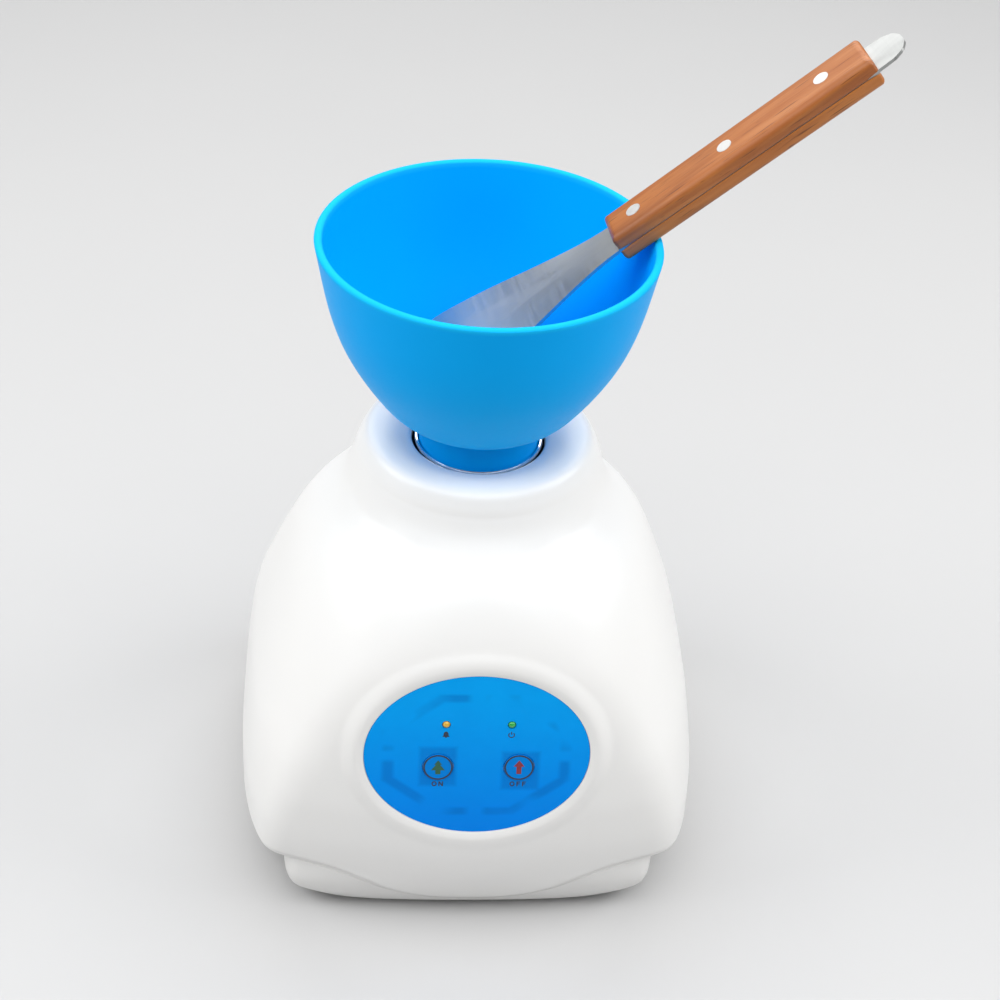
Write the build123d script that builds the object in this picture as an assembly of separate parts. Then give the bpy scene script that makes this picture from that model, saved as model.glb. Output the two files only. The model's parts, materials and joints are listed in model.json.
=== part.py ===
from build123d import *
from build123d.topology import SkipClean
import math
import os

os.makedirs("parts", exist_ok=True)

# ---------------------------------------------------------------------------
# Dental impression (alginate) mixer: a bell-shaped bench housing with a
# belt-driven turntable chuck on top, a soft mixing bowl standing in the chuck
# and a wooden-handled spatula leaning in the bowl.
# Origin: spindle axis at the bench plane. +Z up, front is -Y, +X right. mm.
# ---------------------------------------------------------------------------

# housing
SHELL_T = 2.6            # wall of the upper shell
NECK_TOP = 185.0         # highest ring of the neck
NECK_HOLE_R = 26.6       # hole in the neck around the chuck
TRAY_Z0 = 3.0            # underside of the base tray
TRAY_FLOOR = 6.0         # inside face of the tray floor
SEAM_Z = 11.0            # shell/tray seam at the sides and back
SEAM_GAP = 0.5
FACET_RX = 300.0         # plan radius of the front face above the skirt
EDGE_SOFT = 6.0          # softness of the ridge round the front face

# drive
MOTOR_Y = 46.0           # motor axis behind the spindle
PLATE_Z = 106.0          # underside of the steel support plate
PLATE_T = 3.0
BELT_Z = 121.2
DRIVEN_R = 28.0          # groove radius, spindle pulley
DRIVE_R = 8.0            # groove radius, motor pulley

# chuck and bowl
CHUCK_IN_R = 24.0
CHUCK_OUT_R = 25.0
CHUCK_FLOOR = 169.5
FOOT_R = 23.7
BOWL_RIM_R = 65.0
BOWL_RIM_Z = 270.0
BOWL_T = 3.0

# control panel, on a plane leaning back by PANEL_TILT
PANEL_TILT = 10.0
PANEL_P = (0.0, -88.2, 90.5)
PANEL_A, PANEL_B = 44.1, 36.0
OVERLAY_T = 0.8
KEY_R = 5.9
KEY_TRAVEL = 0.6
KEY_L = (-15.1, -5.3)
KEY_R_POS = (16.6, -5.3)
LED_L = (-12.4, 14.2)
LED_R = (13.0, 14.2)

# rear panel
REAR_Y = 92.5
INLET_X, INLET_Z = -22.0, 35.0
SWITCH_X, SWITCH_Z = 26.0, 35.0

# spatula: handle-side end of the blade, axis, flat normal
SP_N = (47.84, 6.76, 266.89)
SP_D = (0.776, 0.076, 0.626)
HANDLE_L, HANDLE_W0, HANDLE_W1, SCALE_T, TANG_T = 113.5, 18.4, 20.2, 5.5, 1.3
BLADE_L = 101.0

# z, half width, front reach, back reach, roundness exponent
SEC = [
    [1.0, 86.8, 85.5, 90.5, 3.55],
    [3.0, 88.3, 88.0, 91.8, 3.6],
    [7.0, 90.8, 92.6, 93.6, 3.65],
    [12.0, 92.8, 98.5, 95.0, 3.75],
    [20.0, 94.4, 105.5, 96.0, 3.8],
    [32.0, 95.3, 110.7, 96.5, 3.8],
    [46.0, 95.5, 110.8, 95.6, 3.65],
    [60.0, 94.2, 109.0, 93.0, 3.5],
    [76.0, 91.6, 105.4, 88.2, 3.3],
    [95.0, 86.0, 99.5, 80.0, 3.05],
    [115.0, 79.0, 91.0, 70.5, 2.85],
    [132.0, 72.3, 81.5, 61.5, 2.65],
    [143.0, 66.4, 74.5, 56.0, 2.5],
    [150.0, 61.4, 69.5, 53.0, 2.35],
    [155.0, 57.6, 65.3, 51.8, 2.2],
    [160.0, 54.4, 60.5, 51.0, 2.1],
    [165.0, 52.2, 55.8, 50.4, 2.0],
    [170.0, 50.6, 51.9, 49.8, 2.0],
    [176.0, 48.7, 48.8, 48.7, 2.0],
    [181.0, 46.5, 46.5, 46.5, 2.0],
    [183.2, 45.2, 45.2, 45.2, 2.0],
    [184.5, 43.4, 43.4, 43.4, 2.0],
    [185.0, 41.4, 41.4, 41.4, 2.0],
]
FAC = [[0, 83.4], [3, 85.0], [7, 87.0], [12, 89.3], [20, 92.2], [32, 94.9], [45, 95.9],
       [60, 95.4], [75, 93.5], [95, 89.7], [115, 86.0], [122, 84.8], [129, 83.2],
       [140, 79.5], [150, 75.0], [190, 60.0]]
# plan radius of the front face against height: flatter at the foot
FRX = [[0, 900.0], [5, 900.0], [30, FACET_RX], [190, FACET_RX]]
YC = [[0, 18.0], [60, 18.0], [120, 9.9], [150, 2.7], [162, 0.0], [190, 0.0]]
# seam height against |x| in front of y = -30
WAVE = [[0, 10.0], [10, 10.4], [20, 12.2], [33, 17.0], [45, 23.3], [55, 28.0], [64, 30.3],
        [72, 31.0], [79, 29.0], [84.6, 24.0], [90, 15.6], [93, 11.8], [96, 11.0], [110, 11.0]]


def pchip(table, col, x):
    """Monotone cubic through table rows (first column is the abscissa)."""
    n = len(table)
    xs = [r[0] for r in table]
    ys = [r[col] for r in table]
    if x <= xs[0]:
        return ys[0]
    if x >= xs[-1]:
        return ys[-1]
    h = [xs[i + 1] - xs[i] for i in range(n - 1)]
    d = [(ys[i + 1] - ys[i]) / h[i] for i in range(n - 1)]
    m = [d[0]] + [0.0] * (n - 2) + [d[-1]]
    for i in range(1, n - 1):
        if d[i - 1] * d[i] > 0:
            w1, w2 = 2 * h[i] + h[i - 1], h[i] + 2 * h[i - 1]
            m[i] = (w1 + w2) / (w1 / d[i - 1] + w2 / d[i])
    i = max(k for k in range(n - 1) if xs[k] <= x)
    t = (x - xs[i]) / h[i]
    return ((2 * t**3 - 3 * t**2 + 1) * ys[i] + (t**3 - 2 * t**2 + t) * h[i] * m[i]
            + (-2 * t**3 + 3 * t**2) * ys[i + 1] + (t**3 - t**2) * h[i] * m[i + 1])


def body_r(z, th):
    """Plan radius of the housing about (0, yc) at height z and angle th."""
    a, yf, yb, n = (pchip(SEC, k, z) for k in (1, 2, 3, 4))
    yc = pchip(YC, 1, z)
    c, s = math.cos(th), math.sin(th)
    b = (yf + yc) if s < 0 else (yb - yc)
    rb = ((abs(c) / a) ** n + (abs(s) / b) ** n) ** (-1.0 / n)
    if z >= 176.0:
        return rb, yc
    f = pchip(FAC, 1, z)
    k2 = c * c / (2 * pchip(FRX, 1, z))
    disc = s * s + 4 * k2 * (f + yc)
    if k2 > 1e-9:
        rf = (s + math.sqrt(disc)) / (2 * k2)
    else:
        rf = (f + yc) / -s if s < 0 else 1e6
    rf = min(rf, 400.0)
    k = EDGE_SOFT
    h = min(1.0, max(0.0, 0.5 + 0.5 * (rf - rb) / k))
    return rf * (1 - h) + rb * h - k * h * (1 - h), yc


def section(z, off=0.0, zs=None, npts=44):
    """Closed wire of the housing's outline at height z, shrunk by off."""
    zz = z if zs is None else zs
    pts = []
    for i in range(npts):
        th = 2 * math.pi * (i + 0.5) / npts
        r, yc = body_r(zz, th)
        r -= off
        pts.append((r * math.cos(th), yc + r * math.sin(th), z))
    return Wire([Edge.make_spline([Vector(*p) for p in pts], periodic=True)])


def housing(levels, off=0.0, lift=0.0):
    ws = [section(z, off, zs=min(z + lift * min(1.0, z / 60.0), 185.0)) for z in levels]
    return Solid.make_loft(ws)


def box(x0, x1, y0, y1, z0, z1):
    return Pos((x0 + x1) / 2, (y0 + y1) / 2, (z0 + z1) / 2) * Box(x1 - x0, y1 - y0, z1 - z0)


def cyl(x, y, z0, z1, r):
    return Pos(x, y, (z0 + z1) / 2) * Cylinder(r, z1 - z0)


def ring(x, y, z0, z1, ro, ri):
    return cyl(x, y, z0, z1, ro) - cyl(x, y, z0 - 1, z1 + 1, ri)


def rev(pts, x=0, y=0):
    """Revolve a closed (r, z) polygon about the vertical through (x, y)."""
    f = make_face(Polyline(*[(p[0], 0, p[1]) for p in pts], close=True))
    return Pos(x, y, 0) * revolve(f, Axis.Z, 360)


def out(name, shape):
    solids = [s for s in (shape.solids() if hasattr(shape, "solids") else shape)]
    solids = [s for s in solids if s.volume > 0.01]
    export_step(Compound(children=solids) if len(solids) > 1 else solids[0], f"parts/{name}.step")


def panel(x, u, d=0.0):
    """Location on the panel plane: x right, u up the slope, d out of the face."""
    t = math.radians(PANEL_TILT)
    o = Vector(*PANEL_P) + Vector(x, 0, 0) + Vector(0, math.sin(t), math.cos(t)) * u \
        + Vector(0, -math.cos(t), math.sin(t)) * d
    return Plane(origin=o, x_dir=(1, 0, 0), z_dir=(0, -math.cos(t), math.sin(t)))


def pcyl(x, u, d0, d1, r):
    return panel(x, u, (d0 + d1) / 2) * Cylinder(r, d1 - d0)


def pbox(x, u, d0, d1, w, h):
    return panel(x, u, (d0 + d1) / 2) * Box(w, h, d1 - d0)


def pell(d0, d1, a, b):
    return panel(0, 0, d0) * extrude(Ellipse(a, b), d1 - d0)


# --------------------------------------------------------------- upper shell
LV = [1, 6, 13, 24, 40, 60, 80, 100, 118, 132, 142, 150, 156, 162, 168, 175, 181, 183.2, 184.5, 185]
outer = housing(LV)
dish = rev([(0, 165), (26.6, 165), (26.6, 180.0), (26.9, 181.0), (27.8, 181.8), (29.5, 182.6), (32.0, 183.6),
            (35.0, 184.5), (37.5, 184.9), (39.6, 185.0), (39.6, 192), (0, 192)])
inner = housing([0, 10, 22, 40, 60, 82, 104, 122, 136, 146, 154, 162, 170, 178],
                off=2.45, lift=2.3)

wave_x = [-108 + i * 3 for i in range(73)]


def wave_prism(dz, y0, y1):
    """Everything under the front seam curve lifted by dz, between y0 and y1."""
    top = [(x, pchip(WAVE, 1, abs(x)) + dz) for x in wave_x]
    sp = Edge.make_spline([Vector(x, y1, z) for x, z in top])
    a, b = Vector(top[0][0], y1, top[0][1]), Vector(top[-1][0], y1, top[-1][1])
    c, d = Vector(top[-1][0], y1, -5), Vector(top[0][0], y1, -5)
    w = Wire([sp, Edge.make_line(b, c), Edge.make_line(c, d), Edge.make_line(d, a)])
    return extrude(Face(w), amount=y1 - y0, dir=(0, -1, 0))


below_shell = wave_prism(0, -130, -30) + box(-108, 108, -30.2, 120, -5, SEAM_Z)

adds = [pell(-3.1, 1.05, 49.4, 41.4), box(-50, 50, 88.5, 95.5, 15.5, 55.5) & outer]
cuts = [dish, pell(-0.8, 12, PANEL_A + 0.2, PANEL_B + 0.2)]
for bx in (-33, 33):
    for bu in (-23, 23):
        adds.append(pcyl(bx, bu, -12.0, -3.0, 3.2))
        cuts.append(pcyl(bx, bu, -13, -5, 1.45))
for sx in (-1, 1):
    for py in (-20, 52):
        adds.append(cyl(sx * 80, py, SEAM_Z, 46, 4.6))
        adds.append(box(min(sx * 80, sx * 93.2), max(sx * 80, sx * 93.2), py - 1.5, py + 1.5, SEAM_Z + 6, 46))
        cuts.append(cyl(sx * 80, py, 5, 32, 1.75))
for kx, ku in (KEY_L, KEY_R_POS):
    cuts.append(pcyl(kx, ku, -1.75, 2, KEY_R + 0.35))
    cuts.append(pcyl(kx, ku, -6, 2, 2.9))
for lx, lu in (LED_L, LED_R):
    cuts.append(pcyl(lx, lu, -6, 2, 1.75))
cuts.append(box(-48.5, 48.5, REAR_Y, 110, 16, 54))
cuts.append(box(INLET_X - 13.8, INLET_X + 13.8, 80, 100, INLET_Z - 15.8, INLET_Z + 15.8))
cuts.append(box(SWITCH_X - 9.6, SWITCH_X + 9.6, 80, 100, SWITCH_Z - 13.1, SWITCH_Z + 13.1))
with SkipClean():
    shell = outer - [inner, below_shell]
    shell = shell + adds
    shell = shell - cuts
out("upper_shell", shell)

# ----------------------------------------------------------------- base tray
tray_out = housing([3, 9, 20, 36], off=0.9)
tray_in = housing([TRAY_FLOOR, 14, 26, 46], off=3.4)
lip_out = housing([6, 14, 26, 44], off=2.9)
lip_in = housing([TRAY_FLOOR, 14, 26, 46], off=4.9)
low = wave_prism(-SEAM_GAP, -130, -30) + box(-108, 108, -30.2, 120, -5, SEAM_Z - SEAM_GAP)
high = wave_prism(3.0, -130, -30) + box(-108, 108, -30.2, 120, -5, SEAM_Z + 3.0)
FEET = [(-60, -56), (60, -56), (-60, 60), (60, 60)]
POSTS = [(-47, -28), (47, -28), (-47, 53), (47, 53)]
SHELLSC = [(sx * 80, py) for sx in (-1, 1) for py in (-20, 52)]
PBOARD = [(-36, -66), (36, -66), (-36, -20), (36, -20)]
adds, cuts = [], []
for x, y in SHELLSC:
    adds.append(cyl(x, y, 4, SEAM_Z - SEAM_GAP, 5.4))
    cuts += [cyl(x, y, 0, 6.4, 3.8), cyl(x, y, 6, 12, 2.15)]
for x, y in POSTS:
    adds.append(cyl(x, y, 4, 10, 7))
    cuts += [cyl(x, y, 0, 6.6, 4.0), cyl(x, y, 6, 12, 2.15)]
for x, y in PBOARD:
    adds.append(cyl(x, y, 5, 14, 3.4))
    cuts.append(cyl(x, y, 7, 20, 1.25))
for x, y in FEET:
    cuts.append(cyl(x, y, 0, 12, 4.05))
for i in (-1, 0, 1, 5, 6, 7):
    cuts.append(box(-31.6 + 10 * i, -28.4 + 10 * i, -8, 14, 0, 8))
with SkipClean():
    tray = (tray_out & low) - tray_in
    lip = (lip_out & high) - [lip_in, box(-110, 110, -130, 120, -5, TRAY_FLOOR + 0.5)]
    tray = tray + ([lip] + adds)
    tray = tray - cuts
out("base_tray", tray)

# ----------------------------------------------------------------------- feet
feet = []
for x, y in FEET:
    feet += rev([(0, 1.4), (7.0, 1.1), (10.6, 0.0), (12.0, 0.0), (12.6, 0.8), (12.2, 2.2), (11.2, 2.95),
                 (4.0, 2.95), (4.0, 6.1), (5.4, 6.2), (5.2, 7.2), (3.4, 8.8), (0, 8.8)], x, y).solids()
# a glued pad under the spindle's axis takes the push of mixing by hand
feet += rev([(0, 0.0), (11.2, 0.0), (12.0, 0.8), (12.0, 2.95), (0, 2.95)], 0, 0).solids()
out("rubber_feet", feet)

out("shell_screws", [s for x, y in SHELLSC for s in (
    cyl(x, y, 4.0, 6.3, 3.5) + cyl(x, y, 6.3, 30, 1.7) - box(x - 2.4, x + 2.4, y - 0.5, y + 0.5, 3, 5.0)
    - box(x - 0.5, x + 0.5, y - 2.4, y + 2.4, 3, 5.0)).solids()])

# ------------------------------------------------------------- support frame
posts, pscrews, bscrews = [], [], []
for x, y in POSTS:
    p = Pos(x, y, 58.0) * extrude(RegularPolygon(4.9, 6), 48, both=True)
    p = p - cyl(x, y, 0, 22, 1.9) - cyl(x, y, 94, 110, 1.9)
    posts += p.solids()
    pscrews += (cyl(x, y, PLATE_Z + PLATE_T, 111.6, 3.6) + cyl(x, y, 97, 110, 1.85)
                - box(x - 2.5, x + 2.5, y - 0.5, y + 0.5, 110.6, 113)
                - box(x - 0.5, x + 0.5, y - 2.5, y + 2.5, 110.6, 113)).solids()
    bscrews += (cyl(x, y, 4.0, 6.5, 3.7) + cyl(x, y, 6.5, 20, 1.85)
                - box(x - 2.5, x + 2.5, y - 0.5, y + 0.5, 3, 5.0)
                - box(x - 0.5, x + 0.5, y - 2.5, y + 2.5, 3, 5.0)).solids()
out("frame_posts", posts)
out("plate_screws", pscrews)
out("post_screws", bscrews)

plate = Pos(0, 12.5, PLATE_Z + PLATE_T / 2) * extrude(RectangleRounded(106, 95, 11), PLATE_T / 2, both=True)
plate = plate + cyl(0, MOTOR_Y, PLATE_Z, PLATE_Z + PLATE_T, 23.5)
plate = plate - cyl(0, 0, 100, 115, 16.2) - cyl(0, MOTOR_Y, 100, 115, 6.4)
for x, y in POSTS:
    plate = plate - cyl(x, y, 100, 115, 2.1)
for a in (45, 135, 225, 315):
    plate = plate - cyl(20 * math.cos(math.radians(a)), 20 * math.sin(math.radians(a)), 100, 115, 1.7)
for x in (-16, 16):
    plate = plate - cyl(x, MOTOR_Y, 100, 115, 1.7)
out("support_plate", plate)

# ------------------------------------------------------------ bearing housing
hous = cyl(0, 0, 70, 113, 16) + cyl(0, 0, PLATE_Z + PLATE_T, 113, 24)
hous = hous - cyl(0, 0, 75, 84, 13.0) - cyl(0, 0, 83, 101, 11.4) - cyl(0, 0, 101, 120, 13.0) \
    - cyl(0, 0, 60, 75.01, 13.0)
hous = hous - ring(0, 0, 109.2, 110.4, 13.6, 12.0) - ring(0, 0, 73.6, 74.8, 13.6, 12.0)
for a in (45, 135, 225, 315):
    hous = hous - cyl(20 * math.cos(math.radians(a)), 20 * math.sin(math.radians(a)), 100, 115, 1.7)
out("bearing_housing", hous)
clips = []
for z in (73.65, 109.25):
    clips += (ring(0, 0, z, z + 1.1, 13.5, 11.9) - box(-2.5, 2.5, 8, 16, z - 1, z + 2)).solids()
out("housing_circlips", clips)
hs = []
for a in (45, 135, 225, 315):
    x, y = 20 * math.cos(math.radians(a)), 20 * math.sin(math.radians(a))
    hs += (cyl(x, y, 113, 114.7, 2.9) + cyl(x, y, 100, 113, 1.6) + cyl(x, y, 103.2, 105.9, 3.0)
           - box(x - 2, x + 2, y - 0.4, y + 0.4, 114.0, 116)).solids()
out("housing_screws", hs)

races_o, races_i, balls = [], [], []
for z in (75.0, 101.0):
    o = ring(0, 0, z, z + 8, 12.98, 10.9)
    i = ring(0, 0, z, z + 8, 7.1, 5.0)
    groove = Pos(0, 0, z + 4) * Torus(9.0, 2.0)
    races_o += (o - groove).solids()
    races_i += (i - groove).solids()
    for k in range(8):
        t = math.radians(45 * k)
        balls += (Pos(9 * math.cos(t), 9 * math.sin(t), z + 4) * Sphere(1.92)).solids()
out("bearing_outer_races", races_o)
out("bearing_inner_races", races_i)
out("bearing_balls", balls)

# -------------------------------------------------------------------- spindle
shaft = cyl(0, 0, 68, 150, 5.0) + cyl(0, 0, 109.0, 112.6, 6.6)
shaft = shaft - ring(0, 0, 73.7, 74.9, 6, 4.5)
out("spindle_shaft", shaft)
out("shaft_circlip", ring(0, 0, 73.75, 74.85, 7.0, 4.55) - box(-1.6, 1.6, 3, 8, 70, 76))

ZP0, ZP1 = 115.4, 127.0
gz0, gz1 = BELT_Z - 3.4, BELT_Z + 3.4
pul = rev([(24.6, ZP0), (30.5, ZP0), (30.5, ZP0 + 1.0), (DRIVEN_R, gz0), (DRIVEN_R, gz1),
           (30.5, ZP1 - 1.0), (30.5, ZP1), (24.6, ZP1)])
pul = pul + (cyl(0, 0, 119, 123.4, 25) - cyl(0, 0, 110, 130, 9)) + ring(0, 0, 113.6, 128.0, 10.5, 4.8)
for k in range(5):
    t = math.radians(72 * k + 90)
    pul = pul - cyl(17.4 * math.cos(t), 17.4 * math.sin(t), 110, 130, 4.6)
grub = Rot(0, 90, 0) * Pos(-125.6, 0, 7.9) * Cylinder(1.4, 5.4)
pul = pul - Rot(0, 90, 0) * Pos(-125.6, 0, 9.0) * Cylinder(1.42, 8.0)
pul = pul - Rot(0, 0, 40) * cyl(0, 0, 100, 130, 5.0)
out("driven_pulley", pul)
out("pulley_grub_screw", grub & (cyl(0, 0, 110, 130, 10.4) - cyl(0, 0, 110, 130, 5.02)))

cup = rev([(5.0, 128.2), (9.0, 128.2), (9.0, 156), (12.0, 160.5), (20.0, 164.5), (25.0, 166.5),
           (CHUCK_OUT_R, 178.4), (CHUCK_IN_R, 178.4), (CHUCK_IN_R, CHUCK_FLOOR), (0, CHUCK_FLOOR),
           (0, 150.0), (5.0, 150.0)])
LUGS = [(13.5 * math.cos(math.radians(a)), 13.5 * math.sin(math.radians(a))) for a in (90, 210, 330)]
for x, y in LUGS:
    cup = cup + cyl(x, y, CHUCK_FLOOR - 1, CHUCK_FLOOR + 3.2, 2.4)
cup = cup - cyl(0, 0, 148, 172, 2.15) - cyl(0, 0, 167.4, 172, 4.0)
out("chuck_cup", cup)
out("chuck_ring", rev([(CHUCK_IN_R - 0.02, 178.4), (25.0, 178.4), (25.0, 175.6), (25.5, 175.6), (25.5, 180.4),
                       (25.1, 181.1), (24.5, 181.2), (CHUCK_IN_R + 0.1, 180.8), (CHUCK_IN_R - 0.02, 180.3)]))
shaft_tap = cyl(0, 0, 138, 151, 2.0)
out("spindle_shaft", shaft - shaft_tap)
out("chuck_screw", cyl(0, 0, 167.4, 169.4, 3.6) + cyl(0, 0, 140, 167.4, 1.98)
    - Pos(0, 0, 168.9) * extrude(RegularPolygon(1.7, 6), 1.2))

# ---------------------------------------------------------------------- motor
can = cyl(0, MOTOR_Y, 58, 102, 24.5) - cyl(0, MOTOR_Y, 60, 103, 22.4) - cyl(0, MOTOR_Y, 50, 70, 4.2)
out("motor_can", can)
bell = cyl(0, MOTOR_Y, 102, PLATE_Z, 25) + cyl(0, MOTOR_Y, 100, 102, 22.3) + cyl(0, MOTOR_Y, PLATE_Z, 108.6, 6.0)
bell = bell - cyl(0, MOTOR_Y, 90, 112, 2.58)
for x in (-16, 16):
    bell = bell - cyl(x, MOTOR_Y, 99, 115, 1.5)
out("motor_front_bell", bell)
mag = ring(0, MOTOR_Y, 64, 98, 22.35, 19.9) - box(-30, 30, MOTOR_Y - 2.5, MOTOR_Y + 2.5, 60, 100)
out("motor_magnets", mag)
endc = cyl(0, MOTOR_Y, 53, 58, 20) + ring(0, MOTOR_Y, 58, 62, 4.1, 2.58) - cyl(0, MOTOR_Y, 54.5, 60, 2.58)
endc = endc + box(-15, -9, MOTOR_Y - 0.4, MOTOR_Y + 0.4, 46, 54) + box(9, 15, MOTOR_Y - 0.4, MOTOR_Y + 0.4, 46, 54)
out("motor_end_cap", endc)
ms = []
for x in (-16, 16):
    ms += (cyl(x, MOTOR_Y, 109, 111.2, 2.8) + cyl(x, MOTOR_Y, 101, 109, 1.45)
           - box(x - 2, x + 2, MOTOR_Y - 0.4, MOTOR_Y + 0.4, 110.2, 113)).solids()
out("motor_screws", ms)
rot = cyl(0, MOTOR_Y, 55, 129, 2.5) + cyl(0, MOTOR_Y, 63, 71, 8)
arm = cyl(0, MOTOR_Y, 73, 96, 19.3)
for k in range(10):
    t = math.radians(36 * k)
    arm = arm - (Pos(0, MOTOR_Y, 84.5) * Rot(0, 0, 36 * k) * Pos(17.5, 0, 0) * Box(6, 2.6, 30))
out("motor_rotor", rot + arm)
dp = rev([(2.5, ZP0 - 1.0), (7.2, ZP0 - 1.0), (7.2, ZP0), (10.4, ZP0), (10.4, ZP0 + 1.0), (DRIVE_R, gz0), (DRIVE_R, gz1),
          (10.4, ZP1 - 1.0), (10.4, ZP1), (2.5, ZP1)], 0, MOTOR_Y)
out("drive_pulley", dp)

# belt: two arcs and two straight runs round both pulleys, 0.3 clear of them
def belt_loop(g):
    r1, r2, c = DRIVEN_R + g, DRIVE_R + g, MOTOR_Y
    al = math.asin((r1 - r2) / c)
    p = [(r1 * math.cos(al), r1 * math.sin(al)), (r2 * math.cos(al), c + r2 * math.sin(al)),
         (-r2 * math.cos(al), c + r2 * math.sin(al)), (-r1 * math.cos(al), r1 * math.sin(al))]
    e = [Edge.make_line(Vector(*p[0], 0), Vector(*p[1], 0)),
         Edge.make_three_point_arc(Vector(*p[1], 0), Vector(0, c + r2, 0), Vector(*p[2], 0)),
         Edge.make_line(Vector(*p[2], 0), Vector(*p[3], 0)),
         Edge.make_three_point_arc(Vector(*p[3], 0), Vector(0, -r1, 0), Vector(*p[0], 0))]
    return Face(Wire(e))


belt = Pos(0, 0, BELT_Z - 3.0) * (extrude(belt_loop(2.1), 6.0) - extrude(belt_loop(0.3), 6.0))
out("drive_belt", belt)

# --------------------------------------------------------------- control panel
ov = pell(-OVERLAY_T, 0.0, PANEL_A, PANEL_B)
for kx, ku in (KEY_L, KEY_R_POS):
    ov = ov - pcyl(kx, ku, -3, 3, KEY_R + 0.25)
for lx, lu in (LED_L, LED_R):
    ov = ov - pcyl(lx, lu, -3, 3, 1.7)
out("panel_overlay", ov)
for name, (kx, ku) in (("start_key", KEY_L), ("stop_key", KEY_R_POS)):
    out(name, pcyl(kx, ku, -1.0, 0.35, KEY_R) + pcyl(kx, ku, -7.7, -1.0, 2.5))
for name, (lx, lu) in (("alarm_lamp", LED_L), ("power_lamp", LED_R)):
    led = pcyl(lx, lu, -5.0, -0.7, 1.5) + panel(lx, lu, -0.7) * Sphere(1.48) + pcyl(lx, lu, -6.2, -5.0, 1.9)
    led = led + pbox(lx - 0.9, lu, -14.2, -6.0, 0.5, 0.5) + pbox(lx + 0.9, lu, -14.2, -6.0, 0.5, 0.5)
    out(name, led)
cb = panel(0, 0, -13.6) * extrude(RectangleRounded(76, 56, 4), 1.6)
for bx in (-33, 33):
    for bu in (-23, 23):
        cb = cb - pcyl(bx, bu, -20, -5, 1.6)
for lx, lu in (LED_L, LED_R):
    cb = cb - pbox(lx - 0.9, lu, -20, -5, 0.6, 0.6) - pbox(lx + 0.9, lu, -20, -5, 0.6, 0.6)
out("control_board", cb)
ts = []
for kx, ku in (KEY_L, KEY_R_POS):
    ts += (pbox(kx, ku, -12.0, -8.8, 6, 6) + pcyl(kx, ku, -8.8, -8.4, 1.7)).solids()
out("tact_switches", ts)
bs = []
for bx in (-33, 33):
    for bu in (-23, 23):
        bs += (pcyl(bx, bu, -15.6, -13.6, 2.7) + pcyl(bx, bu, -13.6, -6, 1.42)).solids()
out("board_screws", bs)
chips = (pbox(0, 2, -16.8, -13.6, 16, 8) + pbox(0, 2, -14.2, -13.6, 18, 9)).solids() \
    + pbox(-24, 8, -16.2, -13.6, 7, 5).solids() + pbox(24, 10, -17.5, -13.6, 6, 9).solids()
out("board_chips", chips)
out("buzzer", pcyl(22, -12, -22.5, -13.6, 6.0) - pcyl(22, -12, -24, -21.5, 1.0))
out("ribbon_socket", pbox(-6, -20, -20.5, -13.6, 22, 6) - pbox(-6, -20, -24, -15.5, 19.5, 3.6))

# -------------------------------------------------------------- power supply
pb = box(-41, 41, -71, -15, 14, 15.6)
for x, y in PBOARD:
    pb = pb - cyl(x, y, 10, 20, 1.6)
out("power_board", pb)
out("power_board_screws", [s for x, y in PBOARD for s in (cyl(x, y, 15.6, 17.6, 2.8) + cyl(x, y, 8, 15.6, 1.2)).solids()])
tf = box(-34, 2, -60, -26, 19, 41) + box(-28, -4, -64, -22, 20.5, 39.5) + box(-32, 0, -58, -28, 15.6, 19)
out("transformer", tf)
caps = (cyl(16, -54, 15.6, 40, 8.0) - ring(16, -54, 36.5, 37.5, 9, 7.6)).solids() + cyl(16, -34, 15.6, 32, 5.0).solids() \
    + cyl(28, -30, 15.6, 28, 4.0).solids()
out("capacitors", caps)
hsk = box(30, 33, -60, -38, 15.6, 40)
for k in range(5):
    hsk = hsk + box(33, 38.5, -60 + 5 * k, -58.4 + 5 * k, 15.6, 40)
out("heat_sink", hsk)

# ------------------------------------------------------- rear inlet and switch
IX, IZ = INLET_X, INLET_Z
inlet = box(IX - 15.5, IX + 15.5, REAR_Y, REAR_Y + 2.0, IZ - 17.5, IZ + 17.5)
inlet = inlet + box(IX - 13.5, IX + 13.5, 66, REAR_Y, IZ - 15.5, IZ + 15.5)
hole = box(IX - 12, IX + 12, 76, 100, IZ - 2.0, IZ + 13.8)
for sx in (-1, 1):
    hole = hole - Pos(IX + sx * 12, 88, IZ + 13.8) * Rot(0, 45, 0) * Box(5.4, 40, 5.4)
inlet = inlet - hole
inlet = inlet - box(IX - 11.3, IX + 11.3, 70, 100, IZ - 13.3, IZ - 5.3)
PINS = [(IX - 7, IZ + 4.0), (IX + 7, IZ + 4.0), (IX, IZ + 8.0)]
for x, z in PINS:
    inlet = inlet - box(x - 1.0, x + 1.0, 60, 100, z - 2.0, z + 2.0)
out("mains_inlet", inlet)
out("inlet_pins", [s for x, z in PINS for s in box(x - 0.95, x + 0.95, 58, 88.5, z - 1.95, z + 1.95).solids()])
fd = box(IX - 11.0, IX + 11.0, 72, REAR_Y + 2.0, IZ - 13.0, IZ - 5.6)
fd = fd + box(IX - 4, IX + 4, REAR_Y + 2.0, REAR_Y + 3.6, IZ - 12.6, IZ - 10.8)
fd = fd - box(IX - 9.6, IX + 9.6, 74, 90, IZ - 11.4, IZ - 4)
out("fuse_drawer", fd)
out("fuse", Pos(IX, 82.5, IZ - 8.8) * Rot(0, 90, 0) * Cylinder(2.55, 19.0))

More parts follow.
